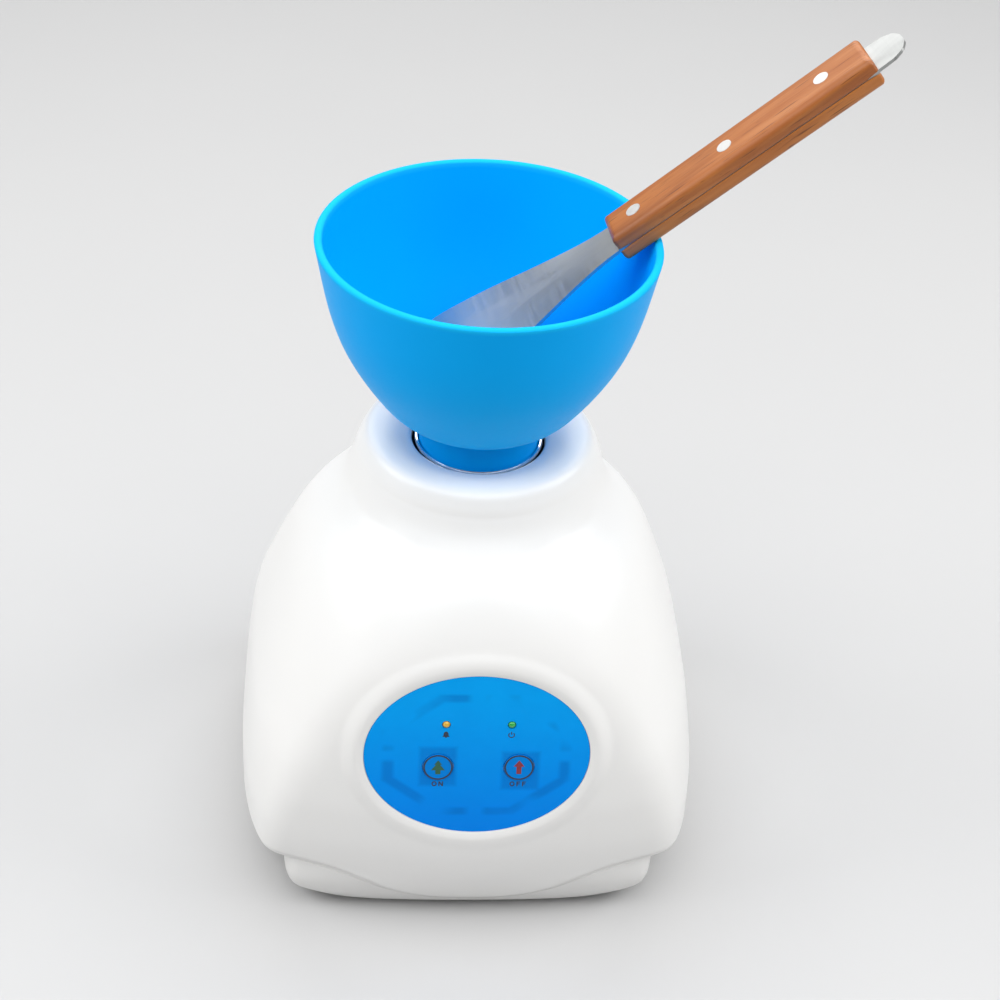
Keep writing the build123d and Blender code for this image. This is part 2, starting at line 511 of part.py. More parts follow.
SX, SZ = SWITCH_X, SWITCH_Z
fr = box(SX - 10.5, SX + 10.5, REAR_Y, REAR_Y + 2.0, SZ - 14.2, SZ + 14.2)
fr = fr + box(SX - 9.3, SX + 9.3, 74, REAR_Y, SZ - 12.8, SZ + 12.8)
fr = fr - box(SX - 7.3, SX + 7.3, 80, 100, SZ - 11.2, SZ + 11.2)
fr = fr + box(SX - 3.1, SX - 2.3, 66, 75, SZ - 8, SZ - 4) + box(SX - 3.1, SX - 2.3, 66, 75, SZ + 4, SZ + 8)
fr = fr - Pos(SX, 90.0, SZ) * Rot(0, 90, 0) * Cylinder(1.3, 2 * 8.7)
out("switch_frame", fr)
# rocker: a shallow V in the YZ plane, pressed in at the lower half when off
RPY = 90.0
pts = [(RPY - 4.5, SZ - 5.0), (RPY - 2.2, SZ - 10.0), (RPY + 3.0, SZ - 10.4), (RPY + 4.6, SZ),
       (RPY + 5.8, SZ + 9.2), (RPY + 0.6, SZ + 10.2), (RPY - 4.5, SZ + 5.0)]
rk = extrude(make_face(Polyline(*[(SX, p[0], p[1]) for p in pts], close=True)), 6.9, both=True, dir=(1, 0, 0))
rk = rk + Pos(SX, RPY, SZ) * Rot(0, 90, 0) * Cylinder(1.1, 2 * 8.4)
out("power_rocker", rk)

# ----------------------------------------------------------------------- bowl
OUT_P = [(23.7, 192.6), (25.6, 193.2), (29.5, 195.1), (36.6, 200.0), (42.3, 206.8), (48.3, 216.0),
         (54.9, 228.5), (60.3, 245.0), (63.5, 261.0), (65.0, 269.0)]
INN_P = [(62.0, 269.0), (60.5, 261.0), (57.4, 246.0), (52.1, 230.0), (45.8, 218.0), (39.9, 209.1),
         (34.4, 202.7), (27.0, 197.9), (18.0, 195.9), (9.0, 195.3)]
e = [Edge.make_spline([Vector(r, 0, z) for r, z in OUT_P]),
     Edge.make_three_point_arc(Vector(65.0, 0, 269.0), Vector(63.5, 0, 270.0), Vector(62.0, 0, 269.0)),
     Edge.make_spline([Vector(r, 0, z) for r, z in INN_P]),
     Edge.make_line(Vector(9.0, 0, 195.3), Vector(0, 0, 195.3)),
     Edge.make_line(Vector(0, 0, 195.3), Vector(0, 0, 170.0)),
     Edge.make_line(Vector(0, 0, 170.0), Vector(22.9, 0, 170.0)),
     Edge.make_line(Vector(22.9, 0, 170.0), Vector(FOOT_R, 0, 170.8)),
     Edge.make_line(Vector(FOOT_R, 0, 170.8), Vector(FOOT_R, 0, 192.6))]
bowl = revolve(Face(Wire(e)), Axis.Z, 360)
for x, y in LUGS:
    bowl = bowl - cyl(x, y, 169, 173.4, 3.0)
bowl = bowl - cyl(0, 0, 169, 172, 4.6)
out("mixing_bowl", bowl)

# -------------------------------------------------------------------- spatula
D = Vector(*SP_D).normalized()
W = Vector(-D.Y, D.X, 0).normalized()
NN = D.cross(W)
if NN.Z < 0:
    NN = NN * -1
SP = Plane(origin=Vector(*SP_N), x_dir=D, z_dir=NN)
# blade outline seen square on, and its slow twist about the long axis
half = [(-0.2, 9.2), (-10, 10.1), (-22, 12.0), (-36, 14.4), (-54, 17.4), (-68, 19.0), (-78, 19.4),
        (-87, 17.6), (-94, 13.0), (-98.4, 7.0), (-BLADE_L, 0.0)]
ctl = [(u, w) for u, w in half] + [(u, -w) for u, w in reversed(half[:-1])]
outline = Face(Wire([Edge.make_spline([Vector(u, w, -14) for u, w in ctl]),
                     Edge.make_line(Vector(ctl[-1][0], ctl[-1][1], -14), Vector(ctl[0][0], ctl[0][1], -14))]))
TWIST = [[0, 0.0], [16, 1.6], [36, 7.5], [60, 13.0], [84, 17.0], [106, 19.0]]
secs = []
for k in range(8):
    u = 0.2 + k * 15.0
    t = math.radians(pchip(TWIST, 1, u))
    c, q = math.cos(t), math.sin(t)
    secs.append(Wire.make_polygon([Vector(-u, w * c - h * q, w * q + h * c) for w, h in (
        (-24, -TANG_T / 2), (24, -TANG_T / 2), (24, TANG_T / 2), (-24, TANG_T / 2))], close=True))
blade = Solid.make_loft(secs) & extrude(outline, amount=28, dir=(0, 0, 1))
tang = extrude(make_face(Polyline((-0.3, -HANDLE_W0 / 2 + 0.4, -TANG_T / 2), (HANDLE_L, -HANDLE_W1 / 2 + 0.4, -TANG_T / 2),
                                  (HANDLE_L, HANDLE_W1 / 2 - 0.4, -TANG_T / 2), (-0.3, HANDLE_W0 / 2 - 0.4, -TANG_T / 2),
                                  close=True)), TANG_T, dir=(0, 0, 1))
tong = extrude(make_face(Polyline((HANDLE_L - 1, -9.2, -TANG_T / 2), (HANDLE_L + 7.0, -8.6, -TANG_T / 2),
                                  (HANDLE_L + 11.0, -6.6, -TANG_T / 2), (HANDLE_L + 13.2, -2.6, -TANG_T / 2),
                                  (HANDLE_L + 13.2, 2.6, -TANG_T / 2), (HANDLE_L + 11.0, 6.6, -TANG_T / 2),
                                  (HANDLE_L + 7.0, 8.6, -TANG_T / 2), (HANDLE_L - 1, 9.2, -TANG_T / 2),
                                  close=True)), TANG_T, dir=(0, 0, 1))
tong = fillet(tong.edges().filter_by(Axis.Z).filter_by(lambda q: q.center().X > HANDLE_L + 1), 3.0)
RIV = [12.2, 53.0, 95.1]
steel = blade + tang + tong
for u in RIV:
    steel = steel - Pos(u, 0, 0) * Cylinder(3.05, 10)
out("spatula_blade", SP * steel)
top = extrude(make_face(Polyline((0, -HANDLE_W0 / 2, TANG_T / 2), (HANDLE_L, -HANDLE_W1 / 2, TANG_T / 2),
                                 (HANDLE_L, HANDLE_W1 / 2, TANG_T / 2), (0, HANDLE_W0 / 2, TANG_T / 2),
                                 close=True)), SCALE_T, dir=(0, 0, 1))
top = fillet(top.edges().filter_by(lambda q: abs(q.center().Z - (TANG_T / 2 + SCALE_T)) < 0.01), 2.6)
for u in RIV:
    top = top - Pos(u, 0, 0) * Cylinder(3.05, 30)
out("handle_scale_upper", SP * top)
out("handle_scale_lower", SP * (Rot(180, 0, 0) * top))
rv = []
for u in RIV:
    rv += (SP * (Pos(u, 0, 0) * Cylinder(3.0, TANG_T + 2 * SCALE_T + 0.15))).solids()
out("handle_rivets", rv)
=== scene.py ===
import json
import math
import bpy
import bmesh
import numpy as np
from mathutils import Matrix, Vector
from mathutils.geometry import delaunay_2d_cdt


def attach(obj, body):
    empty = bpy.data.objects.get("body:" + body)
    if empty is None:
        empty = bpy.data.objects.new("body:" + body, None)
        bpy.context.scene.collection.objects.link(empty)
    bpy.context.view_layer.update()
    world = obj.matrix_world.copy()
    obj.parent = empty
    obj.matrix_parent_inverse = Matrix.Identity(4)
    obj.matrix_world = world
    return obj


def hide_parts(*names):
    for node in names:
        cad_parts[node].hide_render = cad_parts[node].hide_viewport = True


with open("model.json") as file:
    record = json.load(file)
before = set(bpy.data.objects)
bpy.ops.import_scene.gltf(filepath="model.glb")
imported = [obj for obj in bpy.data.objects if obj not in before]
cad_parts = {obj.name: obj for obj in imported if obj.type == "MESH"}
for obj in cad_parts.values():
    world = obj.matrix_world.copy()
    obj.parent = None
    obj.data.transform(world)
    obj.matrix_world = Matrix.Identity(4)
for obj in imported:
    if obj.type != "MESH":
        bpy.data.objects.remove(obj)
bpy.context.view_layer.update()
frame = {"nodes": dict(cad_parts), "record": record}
NODES = frame["nodes"]
SC = bpy.context.scene
MM = 0.001

# ------------------------------------------------------------------ camera
# the photograph's place: in front, a little to the left and well above
D, ZC, F_PX = 650.0, 631.0, 1987.0
ROLL, AZ, PITCH, PAN = (math.radians(v) for v in (3.75, -4.2, 36.52, -0.90))
cam_data = bpy.data.cameras.new("camera")
cam = bpy.data.objects.new("camera", cam_data)
SC.collection.objects.link(cam)
aa = AZ + PAN
fw = Vector((-math.sin(aa) * math.cos(PITCH), math.cos(aa) * math.cos(PITCH), -math.sin(PITCH)))
right = fw.cross(Vector((0, 0, 1))).normalized()
upv = right.cross(fw)
cx = right * math.cos(ROLL) + upv * math.sin(ROLL)
cy = -right * math.sin(ROLL) + upv * math.cos(ROLL)
cl = Vector((math.sin(AZ) * D, -math.cos(AZ) * D, ZC)) * MM
cam.matrix_world = Matrix(((cx.x, cy.x, -fw.x, cl.x), (cx.y, cy.y, -fw.y, cl.y), (cx.z, cy.z, -fw.z, cl.z), (0, 0, 0, 1)))
cam_data.sensor_width = 36.0
cam_data.lens = 36.0 * F_PX / 1000.0
cam_data.clip_start, cam_data.clip_end = 0.05, 50.0
SC.camera = cam


# --------------------------------------------------------------- materials
class Mat:
    """A small helper round one node material."""

    def __init__(self, name, rgb, rough=0.4, metal=0.0, **sockets):
        self.m = bpy.data.materials.new(name)
        self.m.use_nodes = True
        self.t = self.m.node_tree
        self.t.nodes.clear()
        self.out = self.t.nodes.new("ShaderNodeOutputMaterial")
        self.b = self.t.nodes.new("ShaderNodeBsdfPrincipled")
        self.t.links.new(self.b.outputs["BSDF"], self.out.inputs["Surface"])
        self.b.inputs["Base Color"].default_value = (*rgb, 1)
        self.b.inputs["Roughness"].default_value = rough
        self.b.inputs["Metallic"].default_value = metal
        for k, v in sockets.items():
            self.b.inputs[k.replace("_", " ")].default_value = v
        self.co = self.t.nodes.new("ShaderNodeTexCoord").outputs["Object"]
        self.height = None

    def node(self, kind, ins=None, **props):
        n = self.t.nodes.new(kind)
        for k, v in props.items():
            setattr(n, k, v)
        for k, v in (ins or {}).items():
            if isinstance(v, bpy.types.NodeSocket):
                self.t.links.new(v, n.inputs[k])
            else:
                n.inputs[k].default_value = v
        return n

    def math(self, op, a, b=None, c=None, clamp=False):
        n = self.t.nodes.new("ShaderNodeMath")
        n.operation = op
        n.use_clamp = clamp
        for i, v in enumerate((a, b, c)):
            if v is None:
                continue
            if isinstance(v, bpy.types.NodeSocket):
                self.t.links.new(v, n.inputs[i])
            else:
                n.inputs[i].default_value = v
        return n.outputs[0]

    def xyz(self, co=None):
        n = self.node("ShaderNodeSeparateXYZ", {0: co or self.co})
        return n.outputs[0], n.outputs[1], n.outputs[2]

    def mapping(self, scale=(1, 1, 1), rot=(0, 0, 0), loc=(0, 0, 0), co=None):
        return self.node("ShaderNodeMapping", {"Vector": co or self.co, "Scale": scale, "Rotation": rot, "Location": loc}).outputs[0]

    def noise(self, scale, detail=4.0, rough=0.55, co=None, dist=0.0):
        return self.node("ShaderNodeTexNoise", {"Vector": co or self.co, "Scale": scale, "Detail": detail,
                                                "Roughness": rough, "Distortion": dist}).outputs["Fac"]

    def ramp(self, fac, lo, hi, a=0.0, b=1.0):
        return self.node("ShaderNodeMapRange", {"Value": fac, "From Min": lo, "From Max": hi, "To Min": a, "To Max": b},
                         clamp=True).outputs[0]

    def mix(self, fac, a, b):
        n = self.t.nodes.new("ShaderNodeMix")
        n.data_type = "RGBA"
        for i, v in ((0, fac), (6, a), (7, b)):
            if isinstance(v, bpy.types.NodeSocket):
                self.t.links.new(v, n.inputs[i])
            else:
                n.inputs[i].default_value = (*v, 1) if isinstance(v, tuple) and len(v) == 3 else v
        return n.outputs[2]

    def color(self, sock):
        self.t.links.new(sock, self.b.inputs["Base Color"])
        return self

    def rough(self, sock):
        self.t.links.new(sock, self.b.inputs["Roughness"])
        return self

    def bump(self, fac, dist, strength=1.0):
        n = self.node("ShaderNodeBump", {"Height": fac, "Distance": dist, "Strength": strength})
        if self.height is not None:
            self.t.links.new(self.height, n.inputs["Normal"])
        self.height = n.outputs[0]
        self.t.links.new(self.height, self.b.inputs["Normal"])
        return self


def white_plastic(name, rgb, rough, tint=(0.86, 0.85, 0.82)):
    m = Mat(name, rgb, rough, Coat_Weight=0.1, Coat_Roughness=0.2, Specular_IOR_Level=0.4)
    big, fine = m.noise(9.0, 3.0), m.noise(1900.0, 2.0)
    m.color(m.mix(m.ramp(big, 0.35, 0.75, 0.0, 0.18), rgb, tint))
    m.rough(m.ramp(m.noise(300.0, 3.0, 0.5), 0.3, 0.7, rough * 0.96, rough * 1.06))
    m.bump(m.noise(160.0, 2.0), 0.000006, 0.12)
    m.bump(fine, 0.000004, 0.15)
    return m.m


def plastic(name, rgb, rough=0.45, grain=900.0, depth=0.00003):
    m = Mat(name, rgb, rough)
    lighter = tuple(min(1.0, c * 1.35 + 0.012) for c in rgb)
    m.color(m.mix(m.ramp(m.noise(60.0, 5.0), 0.35, 0.75, 0, 0.55), rgb, lighter))
    m.rough(m.ramp(m.noise(140.0, 4.0), 0.3, 0.7, rough * 0.85, min(1, rough * 1.25)))
    m.bump(m.noise(grain, 3.0), depth, 0.5)
    return m.m


def metal(name, rgb, rough=0.3, brush=None, stain=0.25, scale=70.0):
    """brush: scale along each axis, for a brushed or turned finish."""
    m = Mat(name, rgb, rough, 1.0)
    dark = tuple(c * 0.72 for c in rgb)
    m.color(m.mix(m.ramp(m.noise(scale, 5.0, 0.6), 0.35, 0.8, 0, stain), rgb, dark))
    src = m.noise(1.0, 4.0, 0.6, m.mapping(brush)) if brush else m.noise(700.0, 4.0)
    m.rough(m.ramp(src, 0.3, 0.7, rough * 0.75, min(1.0, rough * 1.45)))
    m.bump(src, 0.000012, 0.5)
    return m.m


def rubber(name, rgb, rough=0.6):
    m = Mat(name, rgb, rough)
    dusty = tuple(min(1, c + 0.05) for c in rgb)
    m.color(m.mix(m.ramp(m.noise(35.0, 6.0), 0.45, 0.8, 0, 0.6), rgb, dusty))
    m.rough(m.ramp(m.noise(200.0, 4.0), 0.3, 0.7, rough * 0.85, min(1, rough * 1.2)))
    m.bump(m.noise(1300.0, 3.0), 0.00003, 0.6)
    return m.m


M = {}
M["white_shell"] = white_plastic("abs_gloss_white", (0.905, 0.90, 0.885), 0.31)
M["white_base"] = white_plastic("abs_white_base", (0.83, 0.825, 0.81), 0.33)
M["feet_rubber"] = rubber("foot_rubber_grey", (0.045, 0.047, 0.05))
M["zinc_steel"] = metal("zinc_plate", (0.66, 0.67, 0.66), 0.34, stain=0.45)
M["aluminium"] = metal("turned_aluminium", (0.78, 0.79, 0.80), 0.28, (60, 60, 2600))
M["chrome"] = metal("polished_chrome", (0.88, 0.89, 0.91), 0.07, stain=0.08)
M["bearing_steel"] = metal("ground_steel", (0.60, 0.60, 0.61), 0.2, (80, 80, 1800))
M["belt_rubber"] = rubber("belt_rubber_black", (0.018, 0.018, 0.018), 0.7)
M["black_plastic"] = plastic("black_moulding", (0.022, 0.022, 0.024), 0.42)
M["motor_steel"] = metal("drawn_can_steel", (0.42, 0.43, 0.45), 0.36, (90, 90, 1500), 0.4)
M["ferrite"] = plastic("ferrite", (0.04, 0.04, 0.042), 0.6, 500.0, 0.00006)
M["brass"] = metal("plated_brass", (0.82, 0.66, 0.33), 0.25, stain=0.35)
M["rivet_aluminium"] = metal("peened_aluminium", (0.86, 0.855, 0.84), 0.42, stain=0.12, scale=300.0)


def copper_windings():
    m = Mat("lacquered_copper", (0.55, 0.22, 0.08), 0.3, 0.85)
    band = m.node("ShaderNodeTexWave", {"Vector": m.co, "Scale": 420.0, "Distortion": 1.2, "Detail": 2.0},
                  bands_direction="Z").outputs["Fac"]
    m.color(m.mix(m.ramp(band, 0.2, 0.8), (0.33, 0.11, 0.035), (0.72, 0.34, 0.14)))
    m.bump(band, 0.00012, 0.8)
    return m.m


def board_green():
    m = Mat("solder_mask_green", (0.02, 0.16, 0.07), 0.3, Coat_Weight=0.3)
    tracks = m.node("ShaderNodeTexBrick", {"Vector": m.mapping((140, 140, 140)), "Scale": 1.0, "Mortar Size": 0.03,
                                           "Color1": (0, 0, 0, 1), "Color2": (0.25, 0.25, 0.25, 1), "Mortar": (1, 1, 1, 1)})
    m.color(m.mix(tracks.outputs["Color"], (0.015, 0.13, 0.055), (0.05, 0.27, 0.12)))
    m.bump(tracks.outputs["Fac"], 0.00002, 0.5)
    return m.m


M["copper"] = copper_windings()
M["pcb_green"] = board_green()


def lens(name, rgb, glow):
    m = Mat(name, rgb, 0.12, Coat_Weight=0.6, Coat_Roughness=0.03)
    m.b.inputs["Emission Color"].default_value = (*rgb, 1)
    m.b.inputs["Emission Strength"].default_value = glow
    m.color(m.mix(m.ramp(m.noise(900.0, 2.0), 0.3, 0.7, 0, 0.5), rgb, tuple(min(1, c * 1.6 + 0.05) for c in rgb)))
    m.bump(m.noise(2500.0, 2.0), 0.00002, 0.4)
    return m.m


M["amber_lens"] = lens("amber_lens", (0.66, 0.36, 0.02), 0.05)
M["green_lens"] = lens("green_lens", (0.03, 0.36, 0.06), 0.05)


def fuse_glass():
    m = Mat("fuse_glass_caps", (0.75, 0.76, 0.74), 0.15, 0.3)
    x = m.xyz()[0]
    cap = m.math("GREATER_THAN", m.math("ABSOLUTE", m.math("ADD", x, 0.022)), 0.0068)
    m.color(m.mix(cap, (0.55, 0.6, 0.58), (0.7, 0.68, 0.62)))
    m.rough(m.ramp(m.noise(400.0), 0.3, 0.7, 0.1, 0.3))
    return m.m


M["fuse_glass"] = fuse_glass()

# --- blue printed film of the key panel, in panel coordinates
TILT = math.radians(10.0)
PANEL_O = np.array([0.0, -88.2, 90.5])
P_X = np.array([1.0, 0.0, 0.0])
P_U = np.array([0.0, math.sin(TILT), math.cos(TILT)])
P_N = np.array([0.0, -math.cos(TILT), math.sin(TILT)])
PA, PB = 44.1, 36.0
KEY_L, KEY_R, KEY_RAD = (-15.1, -5.3), (16.6, -5.3), 5.9
LED_L, LED_R = (-12.4, 14.2), (13.0, 14.2)


def film(name, squares=True):
    m = Mat(name, (0.0, 0.27, 0.9), 0.3, Specular_IOR_Level=0.06)
    o = m.node("ShaderNodeVectorMath", {0: m.co, 1: tuple(PANEL_O * MM)}, operation="SUBTRACT").outputs[0]
    u = m.node("ShaderNodeVectorMath", {0: o, 1: tuple(P_U)}, operation="DOT_PRODUCT").outputs["Value"]
    x = m.xyz(o)[0]
    k = 1000.0
    x, u = m.math("MULTIPLY", x, k), m.math("MULTIPLY", u, k)

    def square(cx0, cu0, hx, hu, soft):
        ax = m.math("SUBTRACT", m.math("ABSOLUTE", m.math("SUBTRACT", x, cx0)), hx)
        au = m.math("SUBTRACT", m.math("ABSOLUTE", m.math("SUBTRACT", u, cu0)), hu)
        return m.ramp(m.math("MAXIMUM", ax, au), -soft, soft, 1.0, 0.0)

    top, low = (0.0, 0.40, 1.0), (0.0, 0.25, 0.93)
    col = m.mix(m.ramp(u, -34.0, 26.0), low, top)
    col = m.mix(m.ramp(m.noise(70.0, 4.0), 0.35, 0.75, 0, 0.16), col, (0.0, 0.22, 0.72))
    if squares:
        dark = m.math("MAXIMUM", square(-15.2, -5.1, 7.2, 8.9, 0.9), square(17.2, -7.0, 7.3, 8.7, 0.9))
        col = m.mix(m.math("MULTIPLY", dark, 0.45), col, (0.0, 0.14, 0.55))
        # faint broken eight-sided band inside the rim
        n = []
        for a in range(8):
            t = math.radians(45.0 * a)
            ex, eu = math.cos(t) / 36.5, math.sin(t) / 27.5
            n.append(m.math("ADD", m.math("MULTIPLY", x, ex), m.math("MULTIPLY", u, eu)))
        big = n[0]
        for v in n[1:]:
            big = m.math("MAXIMUM", big, v)
        band = m.math("MULTIPLY", m.ramp(m.math("ABSOLUTE", m.math("SUBTRACT", big, 0.95)), 0.035, 0.085, 1.0, 0.0),
                      m.ramp(m.noise(38.0, 2.0), 0.42, 0.56))
        gap = m.math("MULTIPLY", m.ramp(m.math("ABSOLUTE", u), 1.5, 3.5), m.ramp(m.math("ABSOLUTE", x), 2.0, 5.0))
        col = m.mix(m.math("MULTIPLY", m.math("MULTIPLY", band, gap), 0.45), col, (0.0, 0.13, 0.53))
    m.color(col)
    m.rough(m.ramp(m.noise(420.0, 3.0), 0.3, 0.7, 0.17, 0.27))
    m.bump(m.noise(2600.0, 2.0), 0.000008, 0.35)
    return m.m


M["panel_film"] = film("panel_film_blue")
M["key_film"] = film("key_film_blue")


def ink(name, rgb, rough=0.45):
    m = Mat(name, rgb, rough)
    m.color(m.mix(m.ramp(m.noise(1500.0, 3.0), 0.3, 0.7, 0, 0.5), rgb, tuple(min(1, c * 1.5 + 0.02) for c in rgb)))
    m.bump(m.noise(4000.0, 2.0), 0.00001, 0.4)
    return m.m


INK_DARK = ink("ink_dark", (0.012, 0.020, 0.045))
INK_GREEN = ink("ink_green", (0.015, 0.10, 0.045))
INK_RED = ink("ink_red", (0.24, 0.018, 0.03))


def bowl_material():
    m = Mat("bowl_blue_rubber", (0.0, 0.33, 0.96), 0.36, Specular_IOR_Level=0.04)
    x, y, z = m.xyz()
    r = m.math("SQRT", m.math("ADD", m.math("MULTIPLY", x, x), m.math("MULTIPLY", y, y)))
    body = m.mix(m.ramp(m.noise(26.0, 5.0, 0.6), 0.35, 0.75, 0, 0.35), (0.0, 0.43, 1.0), (0.0, 0.40, 0.99))
    # painted shadow: the foot under the bowl's flare is mixed toward a darker blue, most at its lower end
    body = m.mix(m.ramp(z, 0.170, 0.194, 0.55, 0.0), body, (0.0, 0.22, 0.72))
    # painted highlight: the up-facing rolled rim is mixed toward a lighter green (the same band also gets a higher
    # roughness below)
    rim = m.ramp(z, 0.2672, 0.2692)
    body = m.mix(m.math("MULTIPLY", rim, 0.85), body, (0.01, 0.52, 0.97))
    m.color(body)
    m.rough(m.math("ADD", m.ramp(m.noise(500.0, 3.0, 0.5), 0.3, 0.7, 0.36, 0.42), m.math("MULTIPLY", rim, 0.25)))
    # fine lathe-like rings from the mould and a soft matt grain
    rings = m.node("ShaderNodeTexWave", {"Vector": m.mapping((0, 0, 1)), "Scale": 260.0, "Distortion": 0.6, "Detail": 2.0,
                                         "Detail Scale": 1.0}, bands_direction="Z").outputs["Fac"]
    m.bump(rings, 0.000008, 0.25)
    m.bump(m.noise(60.0, 2.0), 0.00003, 0.2)
    m.bump(m.noise(1700.0, 2.0), 0.000012, 0.4)
    return m.m


M["bowl_rubber"] = bowl_material()

# --- spatula frame: axis, flat normal, width
SP_N = np.array([47.84, 6.76, 266.89])
SP_D = np.array([0.776, 0.076, 0.626]); SP_D /= np.linalg.norm(SP_D)
SP_W = np.array([-SP_D[1], SP_D[0], 0.0]); SP_W /= np.linalg.norm(SP_W)
SP_F = np.cross(SP_D, SP_W)
if SP_F[2] < 0:
    SP_F = -SP_F


def along(m, origin, axes, scale):
    """Coordinates along three given axes, each scaled."""
    o = m.node("ShaderNodeVectorMath", {0: m.co, 1: tuple(origin * MM)}, operation="SUBTRACT").outputs[0]
    parts = []
    for a, s in zip(axes, scale):
        v = m.node("ShaderNodeVectorMath", {0: o, 1: tuple(a)}, operation="DOT_PRODUCT").outputs["Value"]
        parts.append(m.math("MULTIPLY", v, s) if s != 1 else v)
    return m.node("ShaderNodeCombineXYZ", {0: parts[0], 1: parts[1], 2: parts[2]}).outputs[0], parts


def wood(name, light, mid, dark, shift):
    m = Mat(name, mid, 0.42, Coat_Weight=0.12, Coat_Roughness=0.3)
    co, (u, w, f) = along(m, SP_N, (SP_D, SP_W, SP_F), (1, 1, 1))
    shifted = m.mapping(loc=(shift, shift * 0.37, shift * 0.71), co=co)
    grain = m.mapping((16.0, 260.0, 260.0), co=shifted)
    g1 = m.noise(1.0, 6.0, 0.62, grain, 0.6)
    figure = m.noise(1.0, 3.0, 0.5, m.mapping((9.0, 70.0, 70.0), rot=(0, 0, 0.05), co=shifted), 0.8)
    col = m.mix(m.ramp(g1, 0.34, 0.66), light, mid)
    col = m.mix(m.ramp(figure, 0.50, 0.68, 0.0, 0.62), col, dark)
    pores = m.noise(1.0, 2.0, 0.5, m.mapping((60.0, 1500.0, 1500.0), co=shifted))
    col = m.mix(m.ramp(pores, 0.63, 0.72, 0.0, 0.75), col, tuple(c * 0.45 for c in dark))
    knots = m.noise(1.0, 2.0, 0.5, m.mapping((130.0, 520.0, 520.0), co=shifted))
    col = m.mix(m.ramp(knots, 0.72, 0.79, 0.0, 0.7), col, tuple(c * 0.3 for c in dark))
    m.color(col)
    m.rough(m.ramp(g1, 0.3, 0.7, 0.36, 0.52))
    m.bump(pores, 0.00007, 0.45)
    m.bump(g1, 0.00006, 0.35)
    return m.m


WOOD_UP = wood("rosewood_upper", (0.485, 0.165, 0.034), (0.385, 0.112, 0.020), (0.21, 0.050, 0.008), 0.31)
WOOD_LOW = wood("rosewood_lower", (0.51, 0.180, 0.037), (0.40, 0.122, 0.022), (0.21, 0.054, 0.009), 1.73)


def blade_steel():
    m = Mat("blade_steel", (0.74, 0.75, 0.76), 0.2, 1.0)
    co, (u, w, f) = along(m, SP_N, (SP_D, SP_W, SP_F), (1, 1, 1))
    # ground across the blade: scratches run along the width, a few wipe marks along it
    cross = m.noise(1.0, 5.0, 0.65, m.mapping((1500.0, 40.0, 40.0), co=co))
    wipes = m.noise(1.0, 4.0, 0.6, m.mapping((22.0, 130.0, 22.0), co=co), 0.5)
    m.color(m.mix(m.ramp(wipes, 0.4, 0.75, 0, 0.35), (0.53, 0.54, 0.53), (0.38, 0.39, 0.39)))
    m.rough(m.math("ADD", m.ramp(cross, 0.3, 0.7, 0.3, 0.4), m.ramp(wipes, 0.45, 0.8, 0.0, 0.1)))
    m.bump(cross, 0.000012, 0.35)
    return m.m


M["blade_steel"] = blade_steel()
M["handle_wood"] = WOOD_UP

slot_of = {s["node"]: s["material_slot"] for s in frame["record"]["subparts"]}
for node, ob in NODES.items():
    ob.data.materials.clear()
    ob.data.materials.append(M[slot_of[node]])
NODES["handle_scale_lower"].data.materials[0] = WOOD_LOW


# ------------------------------------------------------- shape of the housing
# z, half width, front reach, back reach, roundness exponent (millimetres)
SEC = [
    [1.0, 86.8, 85.5, 90.5, 3.55], [3.0, 88.3, 88.0, 91.8, 3.6], [7.0, 90.8, 92.6, 93.6, 3.65],
    [12.0, 92.8, 98.5, 95.0, 3.75], [20.0, 94.4, 105.5, 96.0, 3.8], [32.0, 95.3, 110.7, 96.5, 3.8],
    [46.0, 95.5, 110.8, 95.6, 3.65], [60.0, 94.2, 109.0, 93.0, 3.5], [76.0, 91.6, 105.4, 88.2, 3.3],
    [95.0, 86.0, 99.5, 80.0, 3.05], [115.0, 79.0, 91.0, 70.5, 2.85], [132.0, 72.3, 81.5, 61.5, 2.65],
    [143.0, 66.4, 74.5, 56.0, 2.5], [150.0, 61.4, 69.5, 53.0, 2.35], [155.0, 57.6, 65.3, 51.8, 2.2],
    [160.0, 54.4, 60.5, 51.0, 2.1], [165.0, 52.2, 55.8, 50.4, 2.0], [170.0, 50.6, 51.9, 49.8, 2.0],
    [176.0, 48.7, 48.8, 48.7, 2.0], [181.0, 46.5, 46.5, 46.5, 2.0]]
FAC = [[0, 83.4], [3, 85.0], [7, 87.0], [12, 89.3], [20, 92.2], [32, 94.9], [45, 95.9], [60, 95.4], [75, 93.5],
       [95, 89.7], [115, 86.0], [122, 84.8], [129, 83.2], [140, 79.5], [150, 75.0], [190, 60.0]]
FRX = [[0, 900.0], [5, 900.0], [30, 300.0], [190, 300.0]]
YCT = [[0, 18.0], [60, 18.0], [120, 9.9], [150, 2.7], [162, 0.0], [190, 0.0]]
WAVE = [[0, 10.0], [10, 10.4], [20, 12.4], [33, 18.0], [45, 24.8], [55, 28.7], [64, 31.0], [72, 32.3], [80, 33.2],
        [88, 33.8], [110, 34.0]]
SEAM_Z, EDGE_SOFT = 11.0, 6.0


